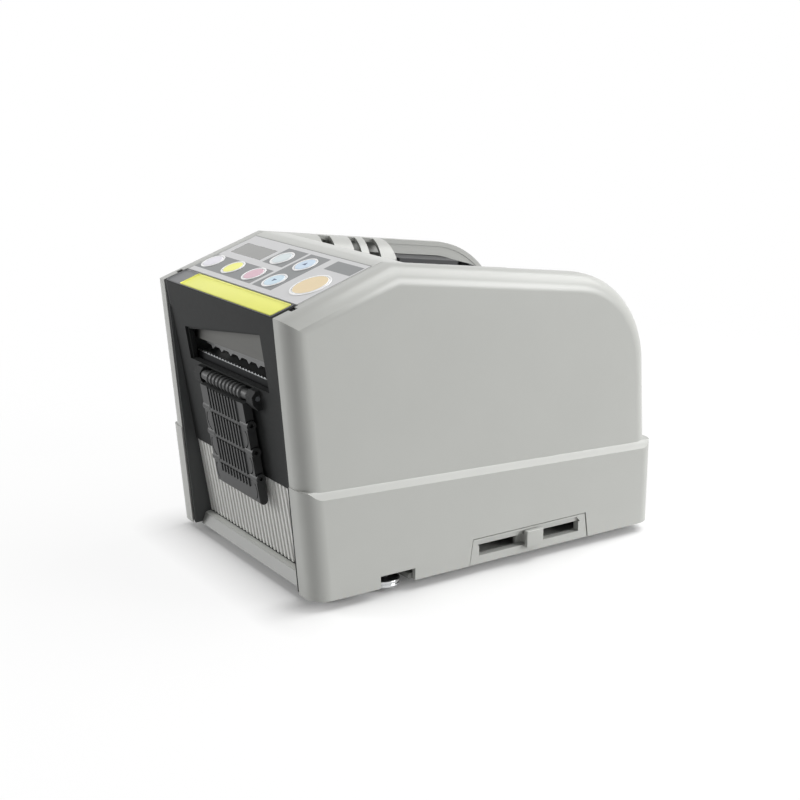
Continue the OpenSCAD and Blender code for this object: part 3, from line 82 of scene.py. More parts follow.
class DispenserColours(bpy.types.PropertyGroup):
    """Colours of the dispenser's finishes."""

    shell: colour_prop("Shell", "#b1b2ae", "Light grey of the moulded side shells")
    # Painted light: the frame is the shells' plastic in a lighter grey, standing in for the light its crest
    # catches
    frame: colour_prop("Panel frame", "#bfc0bc", "Light grey of the frame around the keypad film")
    ribbed: colour_prop("Ribbed panel", "#d8d8d5", "Grey of the ribbed lower panel")
    base: colour_prop("Base", "#8e8f8c", "Grey of the base and its front bar")
    trim: colour_prop("Trim", "#b2b3af", "Pale grey of the slide plate and knob")
    cover: colour_prop("Cover", "#2e2f2f", "Black of the hinged front cover")
    links: colour_prop("Links", "#383939", "Black of the tongue's links")
    # The finger bar's own grey; on the frame behind the blade the same lighter grey is painted light that lifts
    # the shade it stands in
    fingers: colour_prop(
        "Fingers", "#5c5d5d", "Grey of the finger bar and the frame behind the blade")
    inside: colour_prop("Inside", "#1d1e1f", "Black of the parts behind the window")
    liner: colour_prop("Liner", "#2c2d2f", "Dark grey of the tape well's liner")
    rubber: colour_prop("Rubber", "#222222", "Black of the feet and the feed roller")
    steel: colour_prop("Steel", "#b9bcc0", "Brushed sheet steel")
    blade: colour_prop("Blade", "#a9abac", "Ground edge of the serrated blade")
    brass: colour_prop("Brass", "#b8924a", "Turned brass of bushes and pinions")
    acetal: colour_prop("Acetal", "#e2dfd4", "Natural white of gears and hubs")
    film: colour_prop("Film", "#d4d4d5", "Light grey ground of the keypad film")
    zone: colour_prop("Zone", "#868889", "Darker fields printed on the keypad film")
    ring: colour_prop("Ring", "#fbfbfb", "White rims around the keys")
    display: colour_prop("Display", "#747571", "Unlit display")
    strip: colour_prop("Strip", "#f5f67c", "Plain yellow strip on the cover")
    backing: colour_prop("Backing", "#77787a", "Grey backing under the yellow strip")
    board: colour_prop("Board", "#2d5a3a", "Solder mask of the circuit boards")
    motor: colour_prop("Motor", "#85888b", "Drawn steel of the motor cans")
    blade_plate: colour_prop(
        "Blade plate", "#565654", "Dark phosphated face of the moving blade")


class DispenserSizes(bpy.types.PropertyGroup):
    """Sizes of the dispenser's fine detail."""

    shell_edge: length_prop("Shell edge", 0.5, "Rounding of the shells' trimmed edges")
    part_edge: length_prop("Part edge", 0.25, "Rounding of the edges of smaller mouldings")
    fine_edge: length_prop("Fine edge", 0.12, "Rounding of the finest edges")
    ring_width: length_prop("Ring width", 0.85, "Width of the white rim around a key")
    ring_height: length_prop("Ring height", 0.28, "Height of the rim over the film")
    strip_thickness: length_prop("Strip thickness", 0.12, "Thickness of the yellow strip")


def colours():
    return bpy.context.scene.dispenser_colours


def sizes():
    return bpy.context.scene.dispenser_sizes


def shade(colour, factor):
    """A colour made darker or lighter."""
    return [min(1.0, c * factor) for c in colour]


class Wire:
    """A socket that takes part in shader maths."""

    def __init__(self, finish, socket):
        self.finish = finish
        self.socket = socket

    def math(self, operation, *others):
        values = dict(enumerate((self,) + others))
        return self.finish.node("ShaderNodeMath", {"operation": operation}, values)

    def __add__(self, other):
        return self.math("ADD", other)

    __radd__ = __add__

    def __mul__(self, other):
        return self.math("MULTIPLY", other)

    __rmul__ = __mul__

    def __sub__(self, other):
        return self.math("SUBTRACT", other)

    def __rsub__(self, other):
        return self.finish.node("ShaderNodeMath", {"operation": "SUBTRACT"}, {0: other, 1: self})

    def __gt__(self, other):
        return self.math("GREATER_THAN", other)

    def __lt__(self, other):
        return self.math("LESS_THAN", other)

    def within(self, low, high):
        """One between the two values and nought outside them."""
        return (self > low) * (self < high)


class Finish:
    """A material under construction, with its Principled shader."""

    def __init__(self, name):
        self.material = bpy.data.materials.new(name)
        self.material.use_nodes = True
        self.tree = self.material.node_tree
        self.shader = self.tree.nodes["Principled BSDF"]
        self._place = None

    def node(self, kind, settings=None, values=None, output=0):
        """Adds a node, sets it up and returns one of its outputs."""
        made = self.tree.nodes.new(kind)
        for key, value in (settings or {}).items():
            setattr(made, key, value)
        for key, value in (values or {}).items():
            self._feed(made.inputs[key], value)
        return Wire(self, made.outputs[output])

    def _feed(self, socket, value):
        if isinstance(value, Wire):
            self.tree.links.new(value.socket, socket)
        elif socket.type == "RGBA" and len(value) == 3:
            socket.default_value = (*value, 1.0)
        else:
            socket.default_value = value

    def set(self, **values):
        """Sets or links sockets of the Principled shader, named with underscores for blanks."""
        for key, value in values.items():
            self._feed(self.shader.inputs[key.replace("_", " ")], value)

    def place(self):
        """The point in the row frame, as the piece's own Object coordinates."""
        if self._place is None:
            self._place = self.node("ShaderNodeTexCoord", output="Object")
        return self._place

    def axis(self, index):
        """One coordinate of the place: 0 for X, 1 for Y, 2 for Z."""
        return self.node("ShaderNodeSeparateXYZ", values={0: self.place()}, output=index)

    def along(self, origin, direction):
        """Distance of the place from origin, measured along direction."""
        offset = self.node(
            "ShaderNodeVectorMath", {"operation": "SUBTRACT"}, {0: self.place(), 1: origin})
        return self.node(
            "ShaderNodeVectorMath", {"operation": "DOT_PRODUCT"}, {0: offset, 1: direction},
            "Value")

    def distance(self, origin, first, second):
        """Distance of the place from origin, in the plane of two directions."""
        across, along = self.along(origin, first), self.along(origin, second)
        return (across * across + along * along).math("SQRT")

    def grain(self, scale, detail=2.0, stretch=(1.0, 1.0, 1.0)):
        """Noise over the surface, from nought to one."""
        spot = self.node("ShaderNodeMapping", values={"Vector": self.place(), "Scale": stretch})
        return self.node("ShaderNodeTexNoise", values={
            "Vector": spot, "Scale": scale, "Detail": detail, "Roughness": 0.55})

    def mix(self, factor, first, second):
        """A colour between two colours."""
        return self.node(
            "ShaderNodeMix", {"data_type": "RGBA"}, {0: factor, 6: first, 7: second}, 2)

    def toned(self, factor, colour, tones):
        """A colour between two tones of itself."""
        return self.mix(factor, shade(colour, tones[0]), shade(colour, tones[1]))

    def bump(self, height, strength, distance):
        return self.node(
            "ShaderNodeBump", values={"Height": height, "Strength": strength, "Distance": distance})

    def cover_with(self, shader, factor):
        """Lays another shader over the surface where the factor is one."""
        surface = self.tree.nodes["Material Output"].inputs["Surface"]
        under = Wire(self, surface.links[0].from_socket)
        both = self.node("ShaderNodeMixShader", values={0: factor, 1: under, 2: shader})
        self._feed(surface, both)


# Fineness of the noise in the finishes
CLOUD_SCALE = 28.0
SHEET_SCALE = 60.0
TONE_SCALE = 70.0
HAZE_SCALE = 120.0
BOARD_SCALE = 160.0
TARNISH_SCALE = 180.0
DUST_SCALE = 240.0
TRACE_SCALE = 240.0
INK_SCALE = 260.0
SCUFF_SCALE = 420.0
BRUSH_SCALE = 900.0
TOOL_SCALE = 1500.0
PORE_SCALE = 1800.0
GRAIN_SCALE = 2600.0
TOOTH_SCALE = 3200.0

# Stretch that draws noise out into lines along X, or into rings around X
ALONG_X = (0.03, 1.0, 1.0)
AROUND_X = (1.0, 0.05, 0.05)

# Depth of the finest relief
TOOTH_DEPTH = 0.008 * MM
GRAIN_DEPTH = 0.010 * MM
TOOL_DEPTH = 0.015 * MM
BRUSH_DEPTH = 0.02 * MM
PORE_DEPTH = 0.03 * MM

# Darkest and lightest tone of a colour
PLASTIC_TONES = (0.965, 1.03)
PRINT_TONES = (0.97, 1.02)
BRUSHED_TONES = (0.78, 1.1)
TARNISH_TONES = (0.72, 1.08)
DUST_TONES = (1.0, 2.0)

# Share and tone of the dark specks in moulded plastic
SPECK_SHARE = 0.22
SPECK_TONE = 0.86


def moulded(name, colour, roughness, coat=0.0, gloss=0.5, painted_light_patch=None):
    """Injection moulded plastic: fine spark grain, faint flow clouds and uneven gloss.

    A patch of painted light is a function that gives the mask of its place, and its lighter colour."""
    finish = Finish(name)
    clouds = finish.grain(CLOUD_SCALE, 3.0)
    speck = finish.grain(GRAIN_SCALE)
    scuffs = finish.grain(SCUFF_SCALE, 4.0)
    body = finish.toned(clouds, colour, PLASTIC_TONES)
    # Painted light: the patch's place takes its lighter colour
    if painted_light_patch:
        mask_of, painted_light_colour = painted_light_patch
        body = finish.mix(mask_of(finish), body, painted_light_colour)
    finish.set(
        Base_Color=finish.mix(speck * SPECK_SHARE, body, shade(colour, SPECK_TONE)),
        Roughness=roughness - 0.05 + scuffs * 0.10,
        Normal=finish.bump(speck, 0.35, GRAIN_DEPTH),
        Specular_IOR_Level=gloss)
    if coat:
        finish.set(Coat_Weight=coat, Coat_Roughness=0.18)
    return finish.material


def brushed(name, colour, roughness=0.32):
    """Sheet steel brushed along X."""
    finish = Finish(name)
    lines = finish.grain(BRUSH_SCALE, 3.0, ALONG_X)
    clouds = finish.grain(SHEET_SCALE)
    finish.set(
        Base_Color=finish.toned(lines, colour, BRUSHED_TONES),
        Metallic=1.0,
        Roughness=roughness - 0.08 + lines * 0.14 + clouds * 0.05,
        Normal=finish.bump(lines, 0.25, BRUSH_DEPTH))
    return finish.material


def turned(name, colour, roughness):
    """Turned metal with fine tool marks around the X axis and a little tarnish."""
    finish = Finish(name)
    marks = finish.grain(TOOL_SCALE, 2.0, AROUND_X)
    tarnish = finish.grain(TARNISH_SCALE, 4.0)
    finish.set(
        Base_Color=finish.toned(tarnish, colour, TARNISH_TONES),
        Metallic=1.0,
        Roughness=roughness + marks * 0.12,
        Normal=finish.bump(marks, 0.2, TOOL_DEPTH))
    return finish.material


def rubbery(name, colour):
    """Dull rubber with a dusty bloom."""
    finish = Finish(name)
    dust = finish.grain(DUST_SCALE, 5.0)
    pores = finish.grain(PORE_SCALE)
    finish.set(
        Base_Color=finish.toned(dust, colour, DUST_TONES),
        Roughness=0.72 + dust * 0.2,
        Normal=finish.bump(pores, 0.4, PORE_DEPTH))
    return finish.material


def lay_print(finish, ink, roughness):
    """Gives a finish its ink and the fine tooth of polyester film."""
    tooth = finish.grain(TOOTH_SCALE)
    finish.set(
        Base_Color=ink,
        Roughness=roughness - 0.04 + tooth * 0.1,
        Normal=finish.bump(tooth, 0.3, TOOTH_DEPTH))


def printed(name, colour, roughness=0.42):
    """Film printed in one colour."""
    finish = Finish(name)
    lay_print(finish, finish.toned(finish.grain(TONE_SCALE), colour, PRINT_TONES), roughness)
    return finish.material


def joint_of(body):
    """The record's joint that moves a body."""
    for joint in frame["joints"]:
        if joint["child"] == body:
            return joint
    raise RuntimeError("no joint moves " + body)


# The control panel's own frame, from a key's press axis and the front edge of the cover
COVER_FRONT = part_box("front_cover")[0].y
KEY_SPOT = Vector(joint_of("start_key_body")["pos_m"])
OUTWARD = -Vector(joint_of("start_key_body")["axis"]).normalized()
SLOPE = OUTWARD.cross(Vector((1.0, 0.0, 0.0)))
PANEL_TILT = math.atan2(SLOPE.z, SLOPE.y)
PANEL_FOOT = KEY_SPOT + SLOPE * ((COVER_FRONT - KEY_SPOT.y) / SLOPE.y)
PANEL_FOOT.x = 0.0


def on_panel(x, s, h):
    """A point of the panel, millimetres: x across, s up the slope from its front, h out of it."""
    return PANEL_FOOT + Vector((x * MM, 0.0, 0.0)) + SLOPE * (s * MM) + OUTWARD * (h * MM)


def body_with(node):
    """The body that a CAD node rides on."""
    for body, nodes in frame["record"]["behaviour"]["bodies"].items():
        if node in nodes:
            return body
    raise RuntimeError("no body holds " + node)


def key_centre(node):
    """X, place up the slope and radius of a key's face, millimetres."""
    low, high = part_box(node)
    spot = Vector(joint_of(body_with(node))["pos_m"])
    return spot.x / MM, (spot - PANEL_FOOT).dot(SLOPE) / MM, (high.x - low.x) / 2 / MM


# Printed fields on the film: X from and to, slope from and to, millimetres
FILM_ZONES = [
    (-53.8, 4.0, 16.6, 30.2), (-14.8, 4.2, 34.2, 49.6), (6.4, 24.4, 16.6, 49.6),
    (30.4, 52.8, 41.6, 49.8)]

# Roughness of the film and of the keys under it
FILM_ROUGHNESS = 0.4

# Width of the film's shadowed edge, millimetres, and its tone
FILM_EDGE = 0.45
FILM_EDGE_TONE = 0.4


def film_finish():
    """Keypad film with its darker fields and its shadowed edge."""
    col = colours()
    finish = Finish("keypad film")
    across = finish.axis(0)
    up = finish.along(PANEL_FOOT, SLOPE)
    fields = sum(
        across.within(x0 * MM, x1 * MM) * up.within(s0 * MM, s1 * MM)
        for x0, x1, s0, s1 in FILM_ZONES)
    low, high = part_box("control_overlay")
    corners = frame["nodes"]["control_overlay"].data.vertices
    rear = max((corner.co - PANEL_FOOT).dot(SLOPE) for corner in corners)
    edge = FILM_EDGE * MM
    inner = across.within(low.x + edge, high.x - edge) * (up < rear - edge)
    ground = finish.toned(finish.grain(TONE_SCALE), col.film, PRINT_TONES)
    ground = finish.mix(inner, shade(col.film, FILM_EDGE_TONE), ground)
    lay_print(finish, finish.mix(fields, ground, col.zone), FILM_ROUGHNESS)
    return finish.material


def board_finish():
    """Solder mask with pale traces."""
    col = colours()
    finish = Finish("circuit board")
    black, white = (0.0, 0.0, 0.0), (1.0, 1.0, 1.0)
    traces = finish.node(
        "ShaderNodeTexBrick", {"offset": 0.3},
        {"Vector": finish.place(), "Scale": TRACE_SCALE, "Mortar Size": 0.06,
         "Color1": black, "Color2": black, "Mortar": white}, "Color")
    patches = finish.grain(BOARD_SCALE, 3.0)
    mask = finish.toned(patches, col.board, (0.8, 1.0))
    finish.set(
        Base_Color=finish.mix(traces, mask, shade(col.board, 1.7)),
        Roughness=0.35 + patches * 0.15)
    return finish.material


# Height of the blade's ground edge, millimetres, and the dark tones of painted shade on the steel below it, where
# the blade stands in shadow
EDGE_BRIGHT = 0.95
BLADE_PAINTED_SHADE = (hue("#1b1c1d"), hue("#292a2b"))


def edge_blade_finish():
    """Serrated blade: bright where its edge is ground, with painted shade on the steel below."""
    col = colours()
    finish = Finish("serrated blade")
    _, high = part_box("fixed_blade")
    ground = finish.axis(2) > high.z - EDGE_BRIGHT * MM
    lines = finish.grain(BRUSH_SCALE, 3.0, ALONG_X)
    # Painted shade: the steel below the ground edge is painted dark
    painted_shade = finish.mix(lines, *BLADE_PAINTED_SHADE)
    finish.set(
        Base_Color=finish.mix(ground, painted_shade, finish.toned(lines, col.blade, (0.7, 1.0))),
        Metallic=ground,
        Roughness=0.5 - ground * 0.14 + lines * 0.1,
        Normal=finish.bump(lines, 0.25, BRUSH_DEPTH),
        Specular_IOR_Level=0.08)
    return finish.material


def display_finish():
    """Unlit display under a tinted window, with its faint polariser grain."""
    finish = Finish("display window")
    haze = finish.grain(HAZE_SCALE, 3.0)
    finish.set(
        Base_Color=finish.toned(haze, colours().display, (0.85, 1.06)),
        Roughness=0.12 + haze * 0.05,
        Coat_Weight=0.6, Coat_Roughness=0.06)
    return finish.material


# Depth in X of the inner face of the cover's cheek by the ribbed panel, millimetres, and the tone of painted light
# that lightens that shaded face
CHEEK_SKIN = 0.4
CHEEK_PAINTED_LIGHT_TONE = 4.4

# Height from which the base's front bar slopes over to its top, millimetres, and the tone of painted light on the
# top, lighter to stand in for light falling on it
BAR_TOP = 10.25
BAR_TOP_PAINTED_LIGHT_TONE = 2.3


def cheek_painted_light_mask(finish):
    """Mask of the inner face of the cover's cheek, where painted light lightens its shade."""
    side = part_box("ribbed_panel")[0].x
    return finish.axis(0).within(side - CHEEK_SKIN * MM, side)


def bar_top_painted_light_mask(finish):
    """Mask of the top of the base's front bar, which is painted lighter as painted light."""
    return finish.axis(2) > BAR_TOP * MM


# Width of the thumb wheel's polished rim, millimetres, and the tones of its polish
WHEEL_INSET = 0.9
POLISH = (hue("#c4c6c8"), hue("#e2e3e4"))


def wheel_finish():
    """Thumb wheel: polished rim around a black face."""
    finish = Finish("thumb wheel")
    low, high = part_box("thumb_wheel")
    out = finish.distance((low + high) / 2, (1.0, 0.0, 0.0), (0.0, 1.0, 0.0))
    rim = out > (high.x - low.x) / 2 - WHEEL_INSET * MM
    marks = finish.grain(TOOL_SCALE)
    finish.set(
        Base_Color=finish.mix(rim, colours().inside, finish.mix(marks, *POLISH)),
        Metallic=rim,
        Roughness=0.42 - rim * 0.34 + marks * 0.06)
    return finish.material


# White margin between a key's colour and its edge, millimetres
KEY_MARGIN = 0.35
START_MARGIN = 0.6


def key_finish(node, colour):
    """Film of one key: a colour disc inside a white margin."""
    finish = Finish(node.replace("_", " ") + " film")
    x, s, radius = key_centre(node)
    out = finish.distance(on_panel(x, s, 0.0), (1.0, 0.0, 0.0), SLOPE)
    margin = START_MARGIN if node == "start_key" else KEY_MARGIN
    ink = finish.toned(finish.grain(INK_SCALE), colour, PRINT_TONES)
    disc = out < (radius - margin) * MM
    lay_print(finish, finish.mix(disc, colours().ring, ink), FILM_ROUGHNESS)
    return finish.material


MARK_COLOUR = hue("#5d6f8c")
KEY_COLOURS = {
    "key_lilac": hue("#edebf3"),
    "key_yellow": hue("#ffff90"),
    "key_pink": hue("#e3becb"),
    "key_pale": hue("#dfe8ea"),
    "key_blue_rear": hue("#d3e5f6"),
    "key_blue_front": hue("#d3e8f5"),
    "start_key": hue("#efdab2"),
}


def make_finishes():
    """All finishes, by the name of what they are."""
    col = colours()
    # Painted light: the inner face of the cover's cheek is painted lighter, standing in for light
    cheek_painted_light = (cheek_painted_light_mask, shade(col.cover, CHEEK_PAINTED_LIGHT_TONE))
    # Painted light: the top of the base's front bar is painted lighter, as if lit from above
    bar_top_painted_light = (bar_top_painted_light_mask, shade(col.base, BAR_TOP_PAINTED_LIGHT_TONE))
    made = {
        "shell": moulded("shell plastic", col.shell, 0.36, coat=0.12),
        # Painted light: the frame's lighter grey stands in for the light on its crest
        "frame": moulded("panel frame plastic with painted light", col.frame, 0.36, coat=0.12),
        "ribbed": moulded("ribbed panel plastic", col.ribbed, 0.42),
        "base": moulded("base plastic", col.base, 0.4, painted_light_patch=bar_top_painted_light),
        "trim": moulded("slide trim plastic", col.trim, 0.34, coat=0.15),
        "cover": moulded("cover plastic", col.cover, 0.52, gloss=0.08, painted_light_patch=cheek_painted_light),
        "links": moulded("link plastic", col.links, 0.42, gloss=0.3),
        "fingers": moulded("finger bar plastic", col.fingers, 0.3, gloss=0.6),
        "inside": moulded("inner plastic", col.inside, 0.5, gloss=0.3),
        "liner": moulded("liner plastic", col.liner, 0.5),
        "acetal": moulded("acetal", col.acetal, 0.4),
        "rubber": rubbery("rubber", col.rubber),
        "steel": brushed("brushed steel", col.steel),
        "brass": turned("brass", col.brass, 0.26),
        "wheel": wheel_finish(),
        "motor": brushed("motor can", col.motor, 0.4),
        "film": film_finish(),
        "ring": printed("key rim", col.ring),
        "strip": printed("yellow strip", col.strip, 0.38),
        "backing": printed("strip backing", col.backing, 0.45),
        "blade_plate": brushed("blade plate", col.blade_plate, 0.45),
        "edge_blade": edge_blade_finish(),
        "mark": printed("key mark", MARK_COLOUR),
        "display": display_finish(),
        "board": board_finish(),
    }
    for node, colour in KEY_COLOURS.items():
        made[node] = key_finish(node, colour)
    return made


FINISHES = {}


def finish_of(name):
    """A finish by its name; all are made at the first call."""
    if not FINISHES:
        FINISHES.update(make_finishes())
    return FINISHES[name]


def slot_of(node):
    """The record's material slot of a CAD node."""
    for part in frame["record"]["subparts"]:
        if part["node"] == node:
            return part["material_slot"]
    raise RuntimeError("no slot for " + node)


def clear_selection():
    if bpy.context.mode != "OBJECT":
        bpy.ops.object.mode_set(mode="OBJECT")
    bpy.ops.object.select_all(action="DESELECT")


def take(piece):
    """Makes a piece the only selected and active object."""
    clear_selection()
    piece.select_set(True)
    bpy.context.view_layer.objects.active = piece


def coat_with(piece, finish):
    piece.data.materials.clear()
    piece.data.materials.append(finish_of(finish))


def round_edges(piece, width):
    """Bevels the sharp edges of a piece and smooths its shading."""
    take(piece)
    if width > 0.0:
        bevel = piece.modifiers.new("edges", "BEVEL")
        bevel.width = width
        bevel.segments = 2
        bevel.limit_method = "ANGLE"
        bevel.angle_limit = math.radians(SMOOTH_ANGLE)
        bevel.use_clamp_overlap = True
        bevel.harden_normals = False
        bpy.ops.object.modifier_apply(modifier=bevel.name)
    bpy.ops.object.shade_smooth_by_angle(angle=math.radians(SMOOTH_ANGLE))
    flats = piece.modifiers.new("flats", "WEIGHTED_NORMAL")
    flats.keep_sharp = True
    bpy.ops.object.modifier_apply(modifier=flats.name)


# Corners closer than this become one, and faces that meet flatter than these angles, degrees,
# are joined
MERGE = 0.002 * MM
FLAT_ANGLE = 0.6
SHELL_FLAT_ANGLE = 0.05


def dress(node, name, finish, edge, flat=FLAT_ANGLE):
    """Shows a copy of a CAD node in its place, with joined faces, rounded edges and a finish."""
    piece = bpy.data.objects.new(name, frame["nodes"][node].data.copy())
    bpy.context.scene.collection.objects.link(piece)
    take(piece)
    bpy.ops.mesh.customdata_custom_splitnormals_clear()
    bpy.ops.object.mode_set(mode="EDIT")
    bpy.ops.mesh.select_all(action="SELECT")
    bpy.ops.mesh.remove_doubles(threshold=MERGE)
    bpy.ops.mesh.dissolve_limited(angle_limit=math.radians(flat))
    bpy.ops.object.mode_set(mode="OBJECT")
    round_edges(piece, edge)
    coat_with(piece, finish)
    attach(piece, body_with(node))
    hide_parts(node)
    slot_of(node)


def paint(finish, *nodes):
    """Gives CAD nodes that keep their own mesh a finish."""
    for node in nodes:
        coat_with(frame["nodes"][node], finish)


def settle(piece, finish, body, slot):
    """Applies a new piece's place to its mesh, then finishes it and hands it to its body."""
    take(piece)
    bpy.ops.object.transform_apply(location=True, rotation=True, scale=True)
    bpy.ops.object.mode_set(mode="EDIT")
    bpy.ops.mesh.select_all(action="SELECT")
    bpy.ops.mesh.normals_make_consistent(inside=False)
    bpy.ops.object.mode_set(mode="OBJECT")
    bpy.ops.object.shade_smooth_by_angle(angle=math.radians(SMOOTH_ANGLE))
    coat_with(piece, finish)
    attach(piece, body)


# Rounding of a panel plate's rim: share of its thickness, and at most, millimetres
PLATE_RIM = 0.3
PLATE_RIM_MOST = 0.05


def panel_plate(name, x0, x1, s0, s1, h0, h1, corner):
    """A thin plate on the panel's slope, with rounded corners and a softened rim, millimetres."""
    clear_selection()
    centre = on_panel((x0 + x1) / 2, (s0 + s1) / 2, (h0 + h1) / 2)
    bpy.ops.mesh.primitive_cube_add(
        size=1.0, location=centre, rotation=(PANEL_TILT, 0.0, 0.0))
    plate = bpy.context.active_object
    plate.name = name
    plate.scale = ((x1 - x0) * MM, (s1 - s0) * MM, (h1 - h0) * MM)
    bpy.ops.object.transform_apply(location=False, rotation=False, scale=True)
    bpy.ops.object.mode_set(mode="EDIT")
    bpy.ops.mesh.select_all(action="DESELECT")
    bpy.ops.object.mode_set(mode="OBJECT")
    for edge in plate.data.edges:
        a, b = (plate.data.vertices[i].co for i in edge.vertices)
        edge.select = abs(a.z - b.z) > (h1 - h0) * MM / 2
    bpy.ops.object.mode_set(mode="EDIT")
    bpy.ops.mesh.select_mode(type="EDGE")
    bpy.ops.mesh.bevel(offset=corner * MM, segments=5, affect="EDGES")
    bpy.ops.mesh.select_mode(type="VERT")
    bpy.ops.object.mode_set(mode="OBJECT")
    round_edges(plate, min(PLATE_RIM * (h1 - h0), PLATE_RIM_MOST) * MM)
    return plate


class DressHousing(bpy.types.Operator):
    """Dress the side shells, base, deck and panel frame as moulded plastic"""

    bl_idname = "dispenser.dress_housing"
    bl_label = "Dress Housing"

    def execute(self, context):
        size = sizes()
        for side in ("right_shell", "left_shell"):
            dress(side, side + "_moulding", "shell", size.shell_edge, SHELL_FLAT_ANGLE)
        dress("base_tray", "base_moulding", "base", size.part_edge)
        dress("panel_frame", "panel_frame_moulding", "frame", size.part_edge)
        dress("top_deck", "deck_moulding", "shell", size.part_edge)
        dress("ribbed_panel", "ribbed_moulding", "ribbed", size.part_edge)
        dress("rear_panel", "rear_moulding", "shell", size.part_edge)
        dress("rubber_feet", "foot_pads", "rubber", size.part_edge)
        dress("well_liner", "liner_moulding", "liner", size.part_edge)
        dress("thumb_bracket", "thumb_bracket_moulding", "inside", size.part_edge)
        paint("steel", "housing_screws", "reel_brackets")
        return {"FINISHED"}


class DressFront(bpy.types.Operator):
    """Dress the hinged cover and the tongue with its chain of links"""

    bl_idname = "dispenser.dress_front"
    bl_label = "Dress Front Cover"

    def execute(self, context):
        size = sizes()
        dress("front_cover", "cover_moulding", "cover", size.part_edge)
        for i in range(1, 5):
            dress("tongue_link_%d" % i, "link_moulding_%d" % i, "links", size.fine_edge)
        paint("steel", "tongue_pin")
        return {"FINISHED"}


class DressKeypad(bpy.types.Operator):
    """Dress the keypad film, keys and display"""

    bl_idname = "dispenser.dress_keypad"
    bl_label = "Dress Keypad"

    def execute(self, context):
        size = sizes()
        dress("control_overlay", "keypad_film", "film", size.fine_edge)
        for node in KEY_COLOURS:
            dress(node, node + "_pad", node, size.fine_edge)
        dress("display_window", "display_pane", "display", size.fine_edge)
        paint("inside", "display_module")
        paint("board", "control_board", "main_board")
        return {"FINISHED"}


class DressFeedUnit(bpy.types.Operator):
    """Dress the chassis, rollers, gears and motors"""

    bl_idname = "dispenser.dress_feed_unit"
    bl_label = "Dress Feed Unit"

    def execute(self, context):
        size = sizes()
        paint(
            "steel", "chassis_right", "chassis_left", "tie_bars", "feed_shaft", "pinch_shaft",
            "idler_stud", "lower_guide")
        paint("brass", "roller_bushes", "motor_pinion", "cutter_pinion")
        paint("acetal", "feed_gear", "idler_gear")
        paint("motor", "feed_motor", "cutter_motor")
        dress("feed_roller", "feed_roller_sleeve", "rubber", size.fine_edge)
        dress("pinch_roller", "pinch_roller_sleeve", "acetal", size.fine_edge)
        dress("upper_guide", "finger_bar", "fingers", size.fine_edge)
        return {"FINISHED"}


class DressCutter(bpy.types.Operator):
    """Dress the blades and the parts that carry them"""

    bl_idname = "dispenser.dress_cutter"
    bl_label = "Dress Cutter"

    def execute(self, context):
        size = sizes()
        dress("fixed_blade", "lower_blade", "edge_blade", 0.0)
        dress("moving_blade", "upper_blade", "blade_plate", 0.0)
        dress("blade_carrier", "blade_carrier_moulding", "inside", size.fine_edge)
        # Painted light: the frame behind the blade takes the lighter finger-bar grey to lift its shade inside the
        # window
        dress("cutter_frame", "cutter_frame_moulding", "fingers", size.fine_edge)
        return {"FINISHED"}


class DressReel(bpy.types.Operator):
    """Dress the reel shaft and the hub halves"""

    bl_idname = "dispenser.dress_reel"
    bl_label = "Dress Reel"

    def execute(self, context):
        size = sizes()
        dress("reel_hub_right", "hub_moulding_right", "acetal", size.part_edge)
        dress("reel_hub_left", "hub_moulding_left", "acetal", size.part_edge)
        paint("steel", "reel_shaft")
        return {"FINISHED"}


class DressSideControls(bpy.types.Operator):
    """Dress the slide, the thumb wheel and the rear switch and inlet"""

    bl_idname = "dispenser.dress_side_controls"
    bl_label = "Dress Side Controls"

    def execute(self, context):
        size = sizes()
        dress("slide_plate", "slide_trim", "trim", size.part_edge)
        dress("slide_knob", "slide_grip", "trim", size.shell_edge)
        dress("thumb_wheel", "thumb_disc", "wheel", size.fine_edge)
        dress("power_inlet", "inlet_moulding", "inside", size.part_edge)
        dress("switch_bezel", "bezel_moulding", "inside", size.part_edge)
        dress("power_rocker", "rocker_moulding", "inside", size.part_edge)
        return {"FINISHED"}


# Gap between a key and its rim, the rim's rise to its crown and its fall to the outer edge,
# millimetres
KEY_CLEARANCE = 0.06
RING_RISE = 0.02
RING_FALL = 0.06

# Place of the crown as a share of the rim's width, and the corners around the rim
RING_CROWN = 0.3
RING_POINTS = 72
RING_MERGE = 0.001 * MM


def key_ring(name, radius):
    """A softly crowned rim around a key of the given radius, at the foot of the panel."""
    size = sizes()
    inner = (radius + KEY_CLEARANCE) * MM
    outer = inner + size.ring_width
    crown = inner + RING_CROWN * size.ring_width
    clear_selection()
    bpy.ops.mesh.primitive_circle_add(
        vertices=RING_POINTS, radius=inner, fill_type="NOTHING", location=PANEL_FOOT,
        rotation=(PANEL_TILT, 0.0, 0.0))
    ring = bpy.context.active_object
    ring.name = name
    bpy.ops.object.mode_set(mode="EDIT")
    bpy.ops.mesh.select_all(action="SELECT")
    steps = (
        (1.0, size.ring_height), (crown / inner, RING_RISE * MM),
        (outer / crown, -RING_FALL * MM), (1.0, RING_RISE * MM - size.ring_height))
    for grow, rise in steps:
        bpy.ops.mesh.extrude_edges_move()
        bpy.ops.transform.resize(value=(grow, grow, grow), center_override=PANEL_FOOT)
        bpy.ops.transform.translate(value=OUTWARD * rise)
    bpy.ops.mesh.select_all(action="SELECT")
    bpy.ops.mesh.remove_doubles(threshold=RING_MERGE)
    bpy.ops.object.mode_set(mode="OBJECT")
    return ring


def copy_to(piece, name, place):
    """A copy of a piece with its own mesh, moved to a place."""
    twin = piece.copy()
    twin.data = piece.data.copy()
    twin.name = name
    twin.location = place
    bpy.context.scene.collection.objects.link(twin)
    return twin


